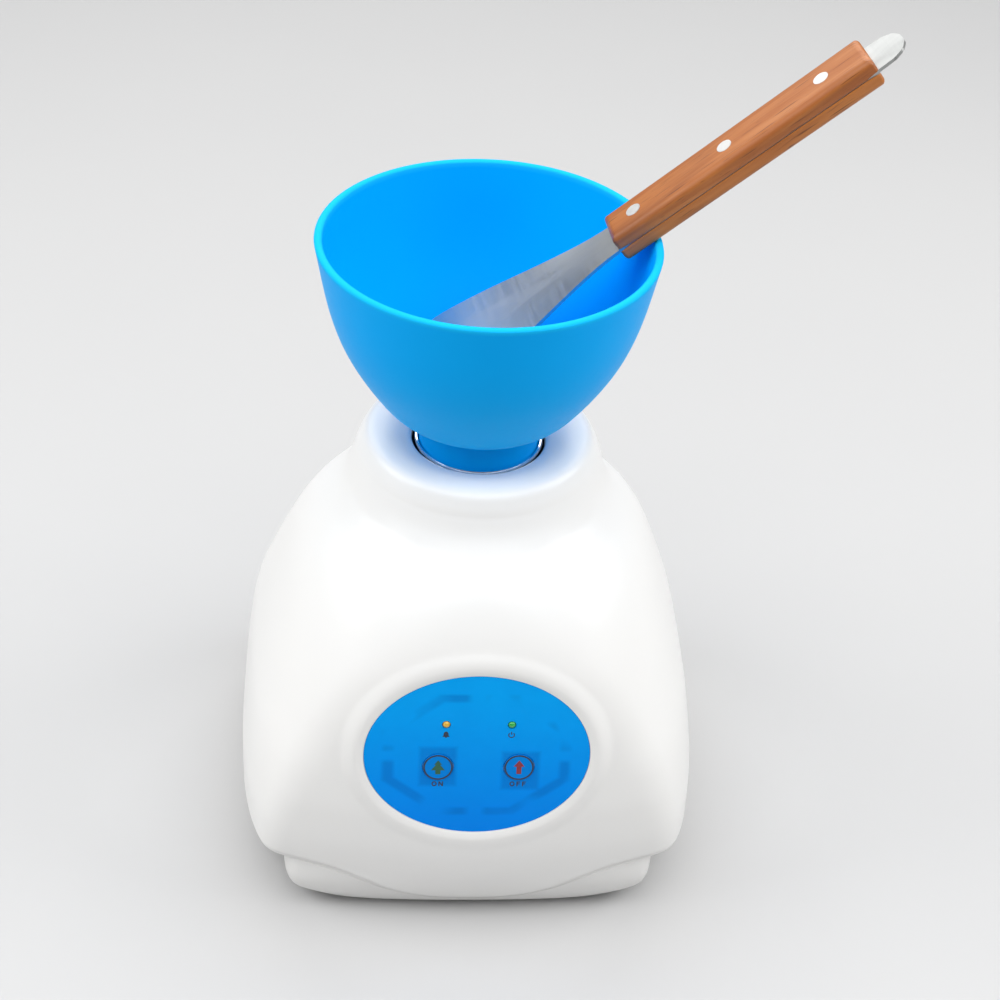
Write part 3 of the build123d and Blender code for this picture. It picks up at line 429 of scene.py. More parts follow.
class Monotone:
    """Monotone cubic through a table, for arrays."""

    def __init__(self, table, col=1):
        self.x = np.array([r[0] for r in table], float)
        self.y = np.array([r[col] for r in table], float)
        h = self.h = np.diff(self.x)
        d = np.diff(self.y) / h
        m = np.zeros(len(self.x))
        m[0], m[-1] = d[0], d[-1]
        for i in range(1, len(m) - 1):
            if d[i - 1] * d[i] > 0:
                w1, w2 = 2 * h[i] + h[i - 1], h[i] + 2 * h[i - 1]
                m[i] = (w1 + w2) / (w1 / d[i - 1] + w2 / d[i])
        self.m = m

    def __call__(self, q):
        q = np.clip(np.asarray(q, float), self.x[0], self.x[-1])
        i = np.clip(np.searchsorted(self.x, q, side="right") - 1, 0, len(self.h) - 1)
        h, t = self.h[i], (q - self.x[i]) / self.h[i]
        return ((2 * t**3 - 3 * t**2 + 1) * self.y[i] + (t**3 - 2 * t**2 + t) * h * self.m[i]
                + (-2 * t**3 + 3 * t**2) * self.y[i + 1] + (t**3 - t**2) * h * self.m[i + 1])


HALF, FRONT, BACK, EXPO = (Monotone(SEC, k) for k in (1, 2, 3, 4))
FACE, FACE_RX, CENTRE, WAVE_F = Monotone(FAC), Monotone(FRX), Monotone(YCT), Monotone(WAVE)


def body_r(z, th):
    a, yf, yb, n, yc = HALF(z), FRONT(z), BACK(z), EXPO(z), CENTRE(z)
    c, s = np.cos(th), np.sin(th)
    b = np.where(s < 0, yf + yc, yb - yc)
    rb = ((np.abs(c) / a) ** n + (np.abs(s) / b) ** n) ** (-1.0 / n)
    f, k2 = FACE(z), c * c / (2 * FACE_RX(z))
    disc = np.sqrt(s * s + 4 * k2 * (f + yc))
    rf = np.where(k2 > 1e-9, (s + disc) / (2 * np.maximum(k2, 1e-12)),
                  np.where(s < 0, (f + yc) / np.maximum(-s, 1e-9), 1e6))
    rf = np.minimum(rf, 400.0)
    h = np.clip(0.5 + 0.5 * (rf - rb) / EDGE_SOFT, 0, 1)
    soft = rf * (1 - h) + rb * h - EDGE_SOFT * h * (1 - h)
    return np.where(z >= 176.0, rb, soft), yc


def at(z, th, off=0.0):
    r, yc = body_r(z, th)
    r = r - off
    return np.stack([r * np.cos(th), yc + r * np.sin(th), np.broadcast_to(z, r.shape)], -1)


# columns: finer across the front
f0, f1 = math.radians(-156.0), math.radians(-24.0)
TH = np.concatenate([np.linspace(f0, f1, 301), np.linspace(f1, f0 + 2 * math.pi, 191)[1:-1]])
NU = len(TH)
ZS = np.full(NU, SEAM_Z)
for _ in range(60):
    q = at(ZS, TH)
    fall = np.clip((-10.0 - q[:, 1]) / 42.0, 0, 1)
    fall = fall * fall * (3 - 2 * fall)
    ZS = 0.5 * ZS + 0.5 * (SEAM_Z + (WAVE_F(np.abs(q[:, 0])) - SEAM_Z) * fall)


def curve(points, n=6):
    """Natural cubic through points, by chord length, n pieces a span."""
    p = np.array(points, float)
    t = np.concatenate([[0], np.cumsum(np.linalg.norm(np.diff(p, axis=0), axis=1))])
    k = len(p)
    h = np.diff(t)
    a = np.zeros((k, k))
    rhs = np.zeros((k, p.shape[1]))
    a[0, 0] = a[-1, -1] = 1.0
    for i in range(1, k - 1):
        a[i, i - 1], a[i, i], a[i, i + 1] = h[i - 1], 2 * (h[i - 1] + h[i]), h[i]
        rhs[i] = 6 * ((p[i + 1] - p[i]) / h[i] - (p[i] - p[i - 1]) / h[i - 1])
    m = np.linalg.solve(a, rhs)
    out = []
    for i in range(k - 1):
        for s in np.linspace(0, 1, n, endpoint=False):
            x = s * h[i]
            A = (m[i + 1] - m[i]) / (6 * h[i])
            B = m[i] / 2
            C = (p[i + 1] - p[i]) / h[i] - h[i] * (2 * m[i] + m[i + 1]) / 6
            out.append(A * x**3 + B * x**2 + C * x + p[i])
    out.append(p[-1])
    return np.array(out)


def new_mesh(name, verts, faces, mats, body, sharp=35.0, replaces=(), recalc=True, scale=MM):
    me = bpy.data.meshes.new(name)
    v = np.asarray(verts, float) * scale
    me.from_pydata([tuple(p) for p in v.tolist()], [], [tuple(int(i) for i in f) for f in faces])
    if recalc:
        bm = bmesh.new()
        bm.from_mesh(me)
        bmesh.ops.delete(bm, geom=[q for q in bm.verts if not q.link_faces], context="VERTS")
        bmesh.ops.recalc_face_normals(bm, faces=bm.faces)
        bm.to_mesh(me)
        bm.free()
    me.materials.clear()
    for m in (mats if isinstance(mats, (list, tuple)) else [mats]):
        me.materials.append(m)
    ob = bpy.data.objects.new(name, me)
    SC.collection.objects.link(ob)
    shade(ob, sharp)
    if body:
        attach(ob, body)
    if replaces:
        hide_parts(*replaces)
    return ob


def shade(ob, sharp=35.0):
    me = ob.data
    me.polygons.foreach_set("use_smooth", np.ones(len(me.polygons), bool))
    me.set_sharp_from_angle(angle=math.radians(sharp))
    me.update()


def cutter(name, solids):
    """solids: list of (verts, faces) closed pieces that don't overlap."""
    vs, fs, n = [], [], 0
    for v, f in solids:
        vs += [tuple(p) for p in np.asarray(v, float).tolist()]
        fs += [tuple(int(i) + n for i in q) for q in f]
        n += len(v)
    return new_mesh(name, vs, fs, [], None)


def box_solid(x0, x1, y0, y1, z0, z1):
    v = [(x, y, z) for x in (x0, x1) for y in (y0, y1) for z in (z0, z1)]
    f = [(0, 1, 3, 2), (4, 6, 7, 5), (0, 4, 5, 1), (2, 3, 7, 6), (0, 2, 6, 4), (1, 5, 7, 3)]
    return v, f


def tube_solid(c, axis_n, axis_x, axis_y, d0, d1, r, n=48):
    t = np.linspace(0, 2 * math.pi, n, endpoint=False)
    ringp = np.outer(np.cos(t), axis_x) * r + np.outer(np.sin(t), axis_y) * r
    v = np.vstack([c + ringp + axis_n * d0, c + ringp + axis_n * d1])
    f = [(i, (i + 1) % n, n + (i + 1) % n, n + i) for i in range(n)] + [tuple(range(n))[::-1], tuple(range(n, 2 * n))]
    return v, f


def zcyl(x, y, z0, z1, r, n=48):
    return tube_solid(np.array([x, y, 0.0]), np.array([0, 0, 1.0]), np.array([1.0, 0, 0]), np.array([0, 1.0, 0]), z0, z1, r, n)


def on_panel(x, u, d=0.0):
    return PANEL_O + P_X * x + P_U * u + P_N * d


def pcyl(x, u, d0, d1, r, n=64):
    return tube_solid(on_panel(x, u), P_N, P_X, P_U, d0, d1, r, n)


def carve(ob, *cutters):
    """Cuts closed meshes out of ob and keeps the result."""
    for c in cutters:
        md = ob.modifiers.new("cut", "BOOLEAN")
        md.operation, md.solver, md.object = "DIFFERENCE", "MANIFOLD", c
    bpy.context.view_layer.update()
    dg = bpy.context.evaluated_depsgraph_get()
    me = bpy.data.meshes.new_from_object(ob.evaluated_get(dg))
    old = ob.data
    ob.modifiers.clear()
    ob.data = me
    me.name = old.name
    bpy.data.meshes.remove(old)
    for c in cutters:
        m2 = c.data
        bpy.data.objects.remove(c)
        bpy.data.meshes.remove(m2)
    return ob


# --------------------------------------------------------------- upper shell
rows = [at(ZS + dz, TH, off) for dz, off in ((0.0, 1.0), (0.06, 0.55), (0.28, 0.2), (0.6, 0.05), (1.0, 0.0))]
levels = np.concatenate([np.arange(13.2, 46, 1.4), np.arange(46, 134, 1.0), np.arange(134, 151, 1.3), np.arange(151, 176, 1.0)])
for zl in levels:
    t = (zl - 12.0) / (176.0 - 12.0)
    rows.append(at((ZS + 1.0) + t * (176.0 - (ZS + 1.0)), TH))
neck = curve([(48.7, 176), (47.75, 178.6), (46.55, 181), (45.2, 183.2), (43.5, 184.5), (41.4, 184.97), (39.4, 184.98),
              (37.5, 184.85), (35.0, 184.45), (32.0, 183.6), (29.5, 182.65), (27.95, 181.95), (27.0, 181.15), (26.62, 180.1),
              (26.6, 179.0)], 4)
neck = np.vstack([neck, [(26.6, 178.2), (26.9, 178.0), (32.0, 178.0), (38.0, 178.0), (43.0, 178.0), (45.4, 176.6)]])
for r, z in neck:
    rows.append(np.stack([r * np.cos(TH), r * np.sin(TH), np.full(NU, min(z, 185.0))], -1))
n_outer = 5 + len(levels) + 5
ins = []
for t in np.concatenate([np.linspace(1, 0.1, 19), [0.05, 0.0]]):
    z = ZS + t * (173.5 - ZS)
    p = at(z, TH, 2.5)
    rel = p - PANEL_O
    x, u, d = rel @ P_X, rel @ P_U, rel @ P_N
    s = np.sqrt((x / (PA + 12)) ** 2 + (u / (PB + 12)) ** 2)
    push = np.where((p[:, 1] < -30) & (s < 1), np.minimum(0, -3.3 - d), 0)
    p = p + push[:, None] * P_N
    rear = (np.abs(p[:, 0]) < 54) & (p[:, 1] > 40) & (z > 12.5) & (z < 60)
    p[:, 1] = np.where(rear, np.minimum(p[:, 1], 88.8), p[:, 1])
    ins.append(p)
rows += ins
G = np.array(rows)                      # rows x columns x 3
NR = len(G)
gi = lambda j, i: j * NU + (i % NU)

# window on the front that is meshed round the key panel's edge
rel = G - PANEL_O
GX, GU, GD = rel @ P_X, rel @ P_U, rel @ P_N
mid = int(np.argmin(np.abs(TH + math.pi / 2)))
jz = G[:, mid, 2]
j0 = int(np.argmin(np.abs(jz[:n_outer] - 39.0)))
j1 = int(np.argmin(np.abs(jz[:n_outer] - 143.0)))
jm = int(np.argmin(np.abs(jz[:n_outer] - 90.0)))
front = [i for i in range(NU) if G[jm, i, 1] < -20 and abs(G[jm, i, 0]) < 60.5]
i0, i1 = min(front), max(front)

PH = np.linspace(0, 2 * math.pi, 289)[:-1]
ell = np.stack([PA * np.cos(PH), PB * np.sin(PH)], -1)
nrm = np.stack([np.cos(PH) / PA, np.sin(PH) / PB], -1)
nrm /= np.linalg.norm(nrm, axis=1)[:, None]


def edge_distance(x, u):
    """Signed distance to the panel's ellipse, positive outside."""
    dense = np.linspace(0, 2 * math.pi, 721)[:-1]
    ex, eu = PA * np.cos(dense), PB * np.sin(dense)
    out = np.empty(len(x))
    for k in range(0, len(x), 2000):
        dd = np.hypot(x[k:k + 2000, None] - ex, u[k:k + 2000, None] - eu)
        out[k:k + 2000] = dd.min(1)
    inside = (x / PA) ** 2 + (u / PB) ** 2 < 1
    return np.where(inside, -out, out)


def depth(x, u):
    """Where the housing's own surface lies along the panel normal."""
    lo, hi = np.full(len(x), -14.0), np.full(len(x), 14.0)
    for _ in range(40):
        m = (lo + hi) / 2
        p = PANEL_O + np.outer(x, P_X) + np.outer(u, P_U) + np.outer(m, P_N)
        yc = CENTRE(p[:, 2])
        th = np.arctan2(p[:, 1] - yc, p[:, 0])
        r, _ = body_r(p[:, 2], th)
        outside = np.hypot(p[:, 0], p[:, 1] - yc) > r
        hi, lo = np.where(outside, m, hi), np.where(outside, lo, m)
    return (lo + hi) / 2


def smoothstep(t):
    t = np.clip(t, 0, 1)
    return t * t * (3 - 2 * t)


def rim_depth(e, ds):
    """The soft-edged dish that the panel sits in."""
    k = 1.0
    h = np.clip(0.5 + 0.5 * (ds - 0.6) / k, 0, 1)
    raised = ds * h + 0.6 * (1 - h) + k * h * (1 - h)
    w = 1 - smoothstep((e - 2.6) / 7.4)
    top = raised * w + ds * (1 - w)
    t = np.clip((e - 0.2) / 3.6, 0, 1)
    f = 1 - (1 - t) ** 1.45
    return 0.14 + (top - 0.14) * f


wj, wi = np.meshgrid(np.arange(j0, j1 + 1), np.arange(i0, i1 + 1), indexing="ij")
wx, wu, wd = GX[wj, wi].ravel(), GU[wj, wi].ravel(), GD[wj, wi].ravel()
we = edge_distance(wx, wu)
shift = np.where(we > 2.0, rim_depth(we, wd) - wd, 0.0)
G[wj, wi] += (shift[:, None] * P_N).reshape(wj.shape + (3,))
RINGS = [0.2, 0.34, 0.52, 0.75, 1.0, 1.35, 1.75, 2.2, 2.7, 3.2, 3.65, 4.05, 4.4, 4.7, 5.0, 5.4, 5.9, 6.5, 7.2, 8.0, 8.9]
edge_in = (wj.ravel() == j0) | (wj.ravel() == j1) | (wi.ravel() == i0) | (wi.ravel() == i1)
use = edge_in | (we > RINGS[-1] + 0.55)
grid_ids = (wj.ravel() * NU + wi.ravel())[use]
pts2 = [Vector((float(a), float(b))) for a, b in zip(wx[use], wu[use])]
verts = list(G.reshape(-1, 3))
ring_ids = []
for e in RINGS:
    q = ell + nrm * e
    ds = depth(q[:, 0], q[:, 1])
    dn = rim_depth(np.full(len(q), e), ds)
    ids = []
    for (x, u), dd in zip(q, dn):
        ids.append(len(verts))
        verts.append(on_panel(x, u, dd))
        pts2.append(Vector((float(x), float(u))))
    ring_ids.append(ids)
all_ids = list(grid_ids) + [i for r in ring_ids for i in r]
where = {int(g): k for k, g in enumerate(all_ids)}
loop = [gi(j0, i) for i in range(i0, i1)] + [gi(j, i1) for j in range(j0, j1)] \
    + [gi(j1, i) for i in range(i1, i0, -1)] + [gi(j, i0) for j in range(j1, j0, -1)]
cons = [(where[loop[k]], where[loop[(k + 1) % len(loop)]]) for k in range(len(loop))]
inner = [where[i] for i in ring_ids[0]]
cons += [(inner[k], inner[(k + 1) % len(inner)]) for k in range(len(inner))]
cv, ce, cf, ov, _, _ = delaunay_2d_cdt(pts2, cons, [], 0, 1e-7)
back = {k: all_ids[o[0]] for k, o in enumerate(ov) if o}
poly = np.array([[pts2[where[g]][0], pts2[where[g]][1]] for g in loop])


def inside_loop(c):
    x, y = c[:, 0], c[:, 1]
    res = np.zeros(len(c), bool)
    for k in range(len(poly)):
        (xa, ya), (xb, yb) = poly[k], poly[(k + 1) % len(poly)]
        if ya == yb:
            continue
        hit = ((ya > y) != (yb > y)) & (x < (xb - xa) * (y - ya) / (yb - ya) + xa)
        res ^= hit
    return res


cen = np.array([[sum(cv[i][0] for i in f) / 3, sum(cv[i][1] for i in f) / 3] for f in cf])
keep = inside_loop(cen)
hole = set(ring_ids[0])
faces = [tuple(back[i] for i in f) for f, k in zip(cf, keep) if k]
faces = [f for f in faces if not all(i in hole for i in f)]
for j in range(NR):
    jn = (j + 1) % NR
    for i in range(NU):
        if j0 <= j < j1 and i0 <= i < i1:
            continue
        faces.append((gi(j, i), gi(j, i + 1), gi(jn, i + 1), gi(jn, i)))
low_ids = []
for (x, u) in ell + nrm * 0.2:
    low_ids.append(len(verts))
    verts.append(on_panel(x, u, -0.82))
hub = len(verts)
verts.append(on_panel(0, 0, -0.82))
nph = len(PH)
for k in range(nph):
    k2 = (k + 1) % nph
    faces.append((ring_ids[0][k], ring_ids[0][k2], low_ids[k2], low_ids[k]))
    faces.append((low_ids[k], low_ids[k2], hub))
shell = new_mesh("housing_shell", verts, faces, M["white_shell"], None)
cut_a = [pcyl(*k, -1.75, 3.0, KEY_RAD + 0.35) for k in (KEY_L, KEY_R)] + [pcyl(*k, -9, 3.0, 1.75, 32) for k in (LED_L, LED_R)]
cut_a.append(box_solid(-48.5, 48.5, 92.5, 112, 16, 54))
cut_b = [pcyl(*k, -9, 0.0, 2.9, 40) for k in (KEY_L, KEY_R)]
cut_b += [box_solid(-22 - 13.8, -22 + 13.8, 80, 100, 35 - 15.8, 35 + 15.8), box_solid(26 - 9.6, 26 + 9.6, 80, 100, 35 - 13.1, 35 + 13.1)]
carve(shell, cutter("c1", cut_a), cutter("c2", cut_b))
shade(shell, 33.0)
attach(shell, "housing")
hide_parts("upper_shell")

# ----------------------------------------------------------------- base tray
tcol = TH
ZT = ZS - 0.5


def foot_r(z):
    """Outline of the base: a narrower front block on a plate with cut-back corners."""
    body, yc = body_r(z, TH)
    c, t = np.cos(TH), np.sin(TH)
    a, reach, back = HALF(z) - 1.8, 71.5 + yc, BACK(z) - 1.0 - yc
    plate = ((np.abs(c) / a) ** 5 + (np.abs(t) / np.where(t < 0, reach, back)) ** 5) ** (-1.0 / 5)
    plate = np.minimum(plate, body - 0.9)
    flat = np.minimum(76.5 / np.maximum(np.abs(c), 1e-6), 400.0)
    h = np.clip(0.5 + 0.5 * (flat - (body - 0.9)) / 12.0, 0, 1)
    block = flat * (1 - h) + (body - 0.9) * h - 12.0 * h * (1 - h)
    block = np.where(t < -0.2, block, 0.0)
    return np.maximum(plate, block), yc


def foot(z, off=0.0, limit=None):
    r, yc = foot_r(z)
    r = r - off
    if limit is not None:
        r = np.minimum(r, body_r(z, TH)[0] - limit)
    return np.stack([r * np.cos(TH), yc + r * np.sin(TH), np.broadcast_to(z, r.shape)], -1)


base = np.full(NU, 3.0)
trows = [foot(base, o) for o in (60.0, 30.0, 12.0, 6.0, 3.2)]
trows += [foot(base + dz, off - 0.9) for dz, off in ((0.0, 2.3), (0.12, 1.7), (0.5, 1.2), (1.1, 0.95), (1.7, 0.9))]
for t in np.linspace(0.06, 1.0, 16):
    trows.append(foot(4.7 + t * (ZT - 2.3 - 4.7)))
trows += [at(ZT + dz, tcol, off) for dz, off in ((-2.0, 1.3), (-1.8, 1.0), (-0.35, 0.9), (-0.1, 1.0), (0.0, 1.25), (0.0, 2.9),
                                                 (2.9, 2.9), (3.1, 3.1), (3.1, 4.7), (2.9, 4.9), (0.6, 4.9))]
trows.append(foot(ZT - 1.0, 2.7, 4.9))
for t in (0.7, 0.35):
    trows.append(foot(6.0 + t * (ZT - 1.0 - 6.0), 2.7, 4.9))
trows.append(foot(np.full(NU, 6.0), 3.0, 5.2))
trows += [foot(np.full(NU, 6.0), o) for o in (12.0, 30.0, 60.0)]
tv = list(np.array(trows).reshape(-1, 3))
tf = []
for j in range(len(trows) - 1):
    for i in range(NU):
        tf.append((gi(j, i), gi(j, i + 1), gi(j + 1, i + 1), gi(j + 1, i)))
b0, b1 = len(tv), len(tv) + 1
tv += [np.array([0, 18.0, 3.0]), np.array([0, 18.0, 6.0])]
for i in range(NU):
    tf.append((gi(0, i), gi(0, i + 1), b0))
    tf.append((gi(len(trows) - 1, i), gi(len(trows) - 1, i + 1), b1))
tray = new_mesh("housing_base", tv, tf, M["white_base"], None)
holes = []
for x, y in ((-80, -20), (-80, 52), (80, -20), (80, 52)):
    holes.append(zcyl(x, y, 0, 6.5, 3.8))
for x, y in ((-47, -28), (47, -28), (-47, 53), (47, 53)):
    holes.append(zcyl(x, y, 0, 6.7, 4.0))
for x, y in ((-60, -56), (60, -56), (-60, 60), (60, 60)):
    holes.append(zcyl(x, y, 0, 12, 4.05))
for i in (-1, 0, 1, 5, 6, 7):
    holes.append(box_solid(-31.6 + 10 * i, -28.4 + 10 * i, -8, 14, 0, 8))
carve(tray, cutter("c3", holes))
shade(tray, 33.0)
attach(tray, "housing")
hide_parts("base_tray")

# ---------------------------------------------------------------------- bowl
OUT_P = [(23.7, 192.6), (25.6, 193.2), (29.5, 195.1), (36.6, 200.0), (42.3, 206.8), (48.3, 216.0),
         (54.9, 228.5), (60.3, 245.0), (63.5, 261.0), (65.0, 269.0)]
INN_P = [(62.0, 269.0), (60.5, 261.0), (57.4, 246.0), (52.1, 230.0), (45.8, 218.0), (39.9, 209.1),
         (34.4, 202.7), (27.0, 197.9), (18.0, 195.9), (9.0, 195.3)]
prof = [(4.6, 172.0), (4.6, 170.35), (4.95, 170.0), (10.5, 170.0), (16.5, 170.0), (22.7, 170.0), (23.35, 170.25),
        (23.7, 170.9), (23.7, 175), (23.7, 180), (23.7, 186), (23.7, 190.8), (23.72, 192.2)]
prof += [tuple(p) for p in curve(OUT_P, 6)[1:-1]]
prof += [(63.5 + 1.5 * math.cos(a), 269.0 + 1.0 * math.sin(a)) for a in np.linspace(0, math.pi, 13)]
prof += [tuple(p) for p in curve(INN_P, 6)[1:]] + [(4.5, 195.3)]
nb = 224
bt = np.linspace(0, 2 * math.pi, nb, endpoint=False)
bv, bf = [], []
for r, z in prof:
    bv += [(r * math.cos(a), r * math.sin(a), z) for a in bt]
for j in range(len(prof) - 1):
    for i in range(nb):
        k = (i + 1) % nb
        bf.append((j * nb + i, j * nb + k, (j + 1) * nb + k, (j + 1) * nb + i))
c0, c1 = len(bv), len(bv) + 1
bv += [(0, 0, 172.0), (0, 0, 195.3)]
for i in range(nb):
    k = (i + 1) % nb
    bf += [(i, k, c0), ((len(prof) - 1) * nb + i, (len(prof) - 1) * nb + k, c1)]
bowl = new_mesh("bowl", bv, bf, M["bowl_rubber"], None)
pock = [zcyl(13.5 * math.cos(math.radians(a)), 13.5 * math.sin(math.radians(a)), 169, 173.4, 3.0) for a in (90, 210, 330)]
carve(bowl, cutter("c4", pock))
shade(bowl, 40.0)
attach(bowl, "bowl")
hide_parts("mixing_bowl")


# ------------------------------------------------------------ spatula handle
H_LEN, H_W0, H_W1 = 113.5, 9.2, 10.1
F_TANG, F_TOP, F_RAD = 0.65, 6.15, 2.6


def on_spatula(u, w, f):
    return SP_N + SP_D * u + SP_W * w + SP_F * f


def scale_outline(inset, rc, per=30, nc=8):
    """Tapered plan of one handle half, inset, with rounded corners: u, w pairs."""
    u0, u1 = inset, H_LEN - inset
    hw = lambda u: H_W0 + (H_W1 - H_W0) * u / H_LEN - inset
    rc = max(rc - inset, 0.12)
    out = []
    q = [math.radians(v) for v in np.linspace(0, 90, nc)]
    far_u, near_u = u1 - rc, u0 + rc
    for a in reversed(q):                                   # far end, +w corner
        out.append((far_u + rc * math.cos(a), hw(far_u) - rc + rc * math.sin(a)))
    out = out[::-1]
    for t in np.linspace(0, 1, per + 2)[1:-1]:
        u = far_u + (near_u - far_u) * t
        out.append((u, hw(u)))
    for a in q:                                             # near end, +w corner
        out.append((near_u - rc * math.sin(a), hw(near_u) - rc + rc * math.cos(a)))
    low = [(u, -w) for u, w in reversed(out)]
    return out + low


def handle_half(name, sign, mat, node):
    loops = []
    def add(inset, f_side, f_end):
        o = scale_outline(inset, 1.5)
        ring = []
        for u, w in o:
            side = 1.6 < u < H_LEN - 1.6 and abs(w) > 4.0
            ring.append(on_spatula(u, w, sign * (f_side if side else f_end)))
        loops.append(ring)
    add(0.9, F_TANG, F_TANG)
    add(0.36, F_TANG, F_TANG)
    add(0.30, 0.2, F_TANG)
    add(0.10, 0.2, F_TANG)
    add(0.0, 0.34, F_TANG + 0.12)
    for f in (1.4, 2.5, F_TOP - F_RAD):
        add(0.0, f, f)
    for a in np.linspace(0, math.pi / 2, 11)[1:]:
        add(F_RAD * (1 - math.cos(a)), F_TOP - F_RAD + F_RAD * math.sin(a), F_TOP - F_RAD + F_RAD * math.sin(a))
    n = len(loops[0])
    v = [p for l in loops for p in l]
    f = [(k * n + i, k * n + (i + 1) % n, (k + 1) * n + (i + 1) % n, (k + 1) * n + i) for k in range(len(loops) - 1) for i in range(n)]
    for base in (0, (len(loops) - 1) * n):                  # caps as strips across the width
        h = n // 2
        for i in range(h - 1):
            f.append((base + i, base + i + 1, base + n - 2 - i, base + n - 1 - i))
    ob = new_mesh(name, v, f, mat, None)
    cut = []
    for u in (12.2, 53.0, 95.1):
        cut.append(tube_solid(on_spatula(u, 0, 0), SP_F * sign, SP_D, SP_W, 0.0, 8.0, 3.05, 48))
    carve(ob, cutter("c5", cut))
    shade(ob, 38.0)
    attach(ob, "spatula")
    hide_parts(node)
    return ob


handle_half("handle_upper", 1, WOOD_UP, "handle_scale_upper")
handle_half("handle_lower", -1, WOOD_LOW, "handle_scale_lower")


# -------------------------------------------------------------- panel prints
def ring_print(name, c, r0, r1, d, mat, body, th=0.05, n=96):
    t = np.linspace(0, 2 * math.pi, n, endpoint=False)
    v = []
    for r, dd in ((r0, d), (r1, d), (r1, d + th), (r0, d + th)):
        v += [on_panel(c[0] + r * math.cos(a), c[1] + r * math.sin(a), dd) for a in t]
    f = []
    for k in range(4):
        for i in range(n):
            a, b = k * n + i, k * n + (i + 1) % n
            k2 = ((k + 1) % 4) * n
            f.append((a, b, k2 + (i + 1) % n, k2 + i))
    return new_mesh(name, v, f, mat, body)


def flat_print(name, c, outline, d, mat, body, th=0.04, scale=1.0):
    """A printed figure: a thin plate with the given outline."""
    o = [(c[0] + x * scale, c[1] + u * scale) for x, u in outline]
    n = len(o)
    v = [on_panel(x, u, d) for x, u in o] + [on_panel(x, u, d + th) for x, u in o]
    f = [(i, (i + 1) % n, n + (i + 1) % n, n + i) for i in range(n)]
    f += [tuple(range(n))[::-1], tuple(range(n, 2 * n))]
    return new_mesh(name, v, f, mat, body)


def mirror(half):
    return half + [(-x, u) for x, u in reversed(half) if abs(x) > 1e-9]


TREE = mirror([(0, 3.3), (1.55, 1.25), (0.8, 1.25), (2.75, -1.35), (1.05, -1.35), (1.0, -3.2)])
ARROW = mirror([(0, 3.35), (2.15, 0.45), (1.0, 0.45), (0.92, -2.95)])
LETTER_N = [(-0.9, -1.1), (-0.9, 1.1), (-0.42, 1.1), (0.46, -0.32), (0.46, 1.1), (0.9, 1.1), (0.9, -1.1), (0.42, -1.1),
            (-0.46, 0.32), (-0.46, -1.1)]
LETTER_F = [(-0.75, -1.1), (-0.75, 1.1), (0.75, 1.1), (0.75, 0.68), (-0.28, 0.68), (-0.28, 0.24), (0.5, 0.24), (0.5, -0.18),
            (-0.28, -0.18), (-0.28, -1.1)]
BELL = mirror([(0, 1.35), (0.28, 1.3), (0.75, 0.95), (0.95, 0.3), (1.0, -0.35), (1.35, -0.85), (1.35, -1.05), (0.4, -1.05),
               (0.3, -1.35), (0, -1.45)])
KEY_TOP = 0.35
for tag, c, body, fig, mat in (("start", KEY_L, "start_key", TREE, INK_GREEN), ("stop", KEY_R, "stop_key", ARROW, INK_RED)):
    ring_print("print_%s_ring" % tag, c, 5.12, 5.78, KEY_TOP - 0.02, INK_DARK, body)
    flat_print("print_%s_mark" % tag, c, fig, KEY_TOP - 0.02, mat, body)


def letter_o(name, c):
    t = np.linspace(0, 2 * math.pi, 48, endpoint=False)
    n = len(t)
    v = []
    for a, b, d in ((0.55, 0.68, -0.02), (1.02, 1.14, -0.02), (1.02, 1.14, 0.03), (0.55, 0.68, 0.03)):
        v += [on_panel(c[0] + a * math.cos(q), c[1] + b * math.sin(q), d) for q in t]
    f = [(k * n + i, k * n + (i + 1) % n, ((k + 1) % 4) * n + (i + 1) % n, ((k + 1) % 4) * n + i) for k in range(4) for i in range(n)]
    return new_mesh(name, v, f, INK_DARK, "housing")


row = -7.9
letter_o("print_on_o", (KEY_L[0] - 1.3, KEY_L[1] + row))
flat_print("print_on_n", (KEY_L[0] + 1.3, KEY_L[1] + row), LETTER_N, -0.02, INK_DARK, "housing", 0.05)
letter_o("print_off_o", (KEY_R[0] - 2.4, KEY_R[1] + row))
flat_print("print_off_f1", (KEY_R[0] + 0.1, KEY_R[1] + row), LETTER_F, -0.02, INK_DARK, "housing", 0.05)
flat_print("print_off_f2", (KEY_R[0] + 2.3, KEY_R[1] + row), LETTER_F, -0.02, INK_DARK, "housing", 0.05)
flat_print("print_alarm", (LED_L[0], LED_L[1] - 4.5), BELL, -0.02, INK_DARK, "housing", 0.05)
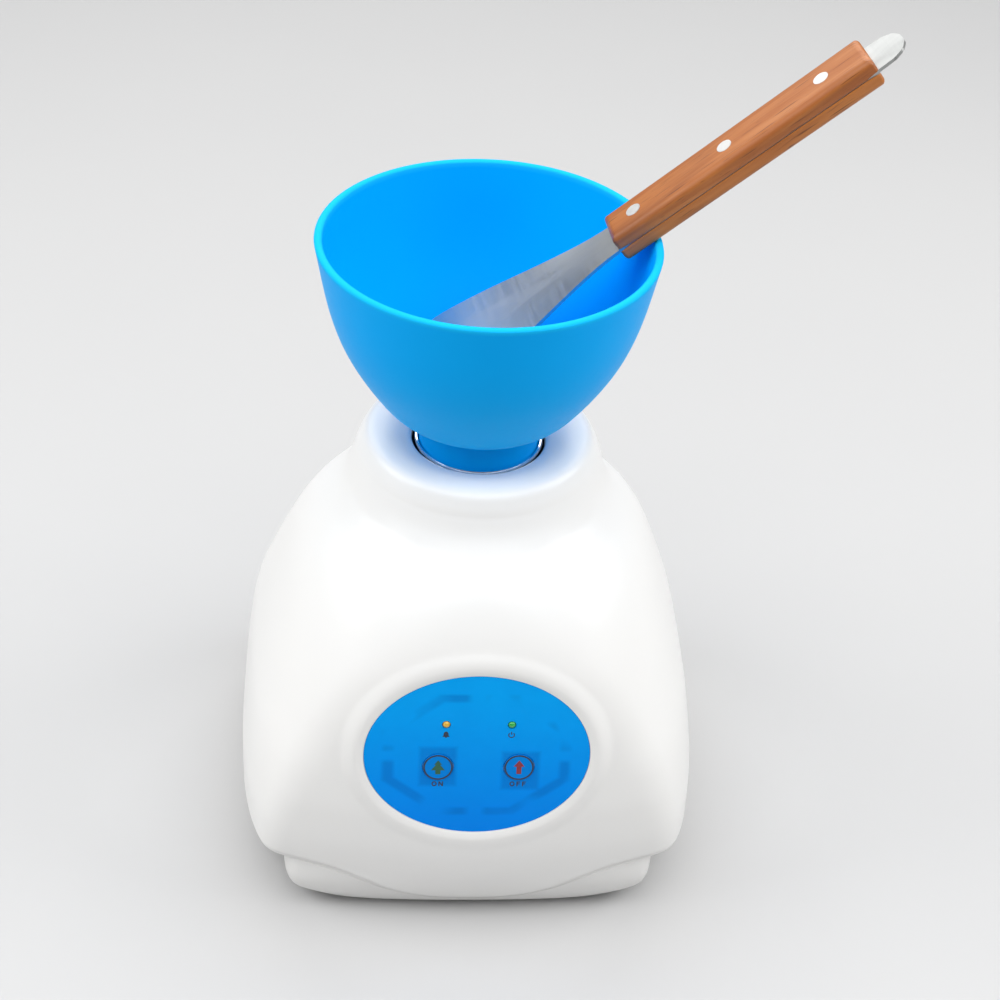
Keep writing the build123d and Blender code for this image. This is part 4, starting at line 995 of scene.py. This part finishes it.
# mains sign: an open ring with a bar in its gap
arc = [math.radians(90 + a) for a in np.linspace(38, 322, 40)]
sign = [(1.3 * math.cos(a), 1.3 * math.sin(a)) for a in arc] + [(0.92 * math.cos(a), 0.92 * math.sin(a)) for a in reversed(arc)]
flat_print("print_power_arc", (LED_R[0], LED_R[1] - 4.6), sign, -0.02, INK_DARK, "housing", 0.05)
flat_print("print_power_bar", (LED_R[0], LED_R[1] - 4.6), [(-0.2, 0.15), (0.2, 0.15), (0.2, 1.5), (-0.2, 1.5)], -0.02, INK_DARK,
           "housing", 0.05)

# --------------------------------------------------------- floor and lighting
fm = Mat("studio_floor", (0.58, 0.58, 0.58), 0.85)
fm.color(fm.mix(fm.ramp(fm.noise(3.0, 3.0), 0.3, 0.7), (0.585, 0.585, 0.585), (0.575, 0.575, 0.577)))
fm.bump(fm.noise(300.0, 2.0), 0.00005, 0.2)
fme = bpy.data.meshes.new("studio_floor")
bm = bmesh.new()
bmesh.ops.create_grid(bm, x_segments=8, y_segments=8, size=4.0)
bm.to_mesh(fme)
bm.free()
fme.materials.append(fm.m)
floor = bpy.data.objects.new("studio_floor", fme)
floor.location = (0, 0, 0)
SC.collection.objects.link(floor)

world = bpy.data.worlds.new("studio")
SC.world = world
world.use_nodes = True
world.node_tree.nodes["Background"].inputs["Color"].default_value = (1, 1, 1, 1)
world.node_tree.nodes["Background"].inputs["Strength"].default_value = 0.14


def softbox(name, loc, look, sx, sy, watts, rgb=(1, 1, 1), spread=180.0):
    d = bpy.data.lights.new(name, "AREA")
    d.spread = math.radians(spread)
    d.shape, d.size, d.size_y, d.energy, d.color = "RECTANGLE", sx, sy, watts, rgb
    o = bpy.data.objects.new(name, d)
    o.location = loc
    o.rotation_euler = (Vector(look) - Vector(loc)).to_track_quat("-Z", "Y").to_euler()
    SC.collection.objects.link(o)
    return o


softbox("top_soft", (0, -0.15, 1.7), (0, 0, 0.1), 2, 1.7, 14.8)
softbox("topfront_soft", (0, -0.8, 1.48), (0, 0, 0.15), 2.2, 1.1, 12.2)
softbox("back_soft", (0.0, 1.25, 1.2), (0, 0, 0.15), 1.8, 0.8, 11)
softbox("left_soft", (-1.1, -0.05, 0.9), (0, 0, 0.15), 0.9, 0.8, 8)
softbox("right_soft", (1.1, -0.05, 0.9), (0, 0, 0.15), 0.9, 0.8, 7.9)
SC.view_settings.view_transform = "Standard"
SC.view_settings.look = "None"
SC.view_settings.exposure = 0.0

bpy.context.view_layer.update()
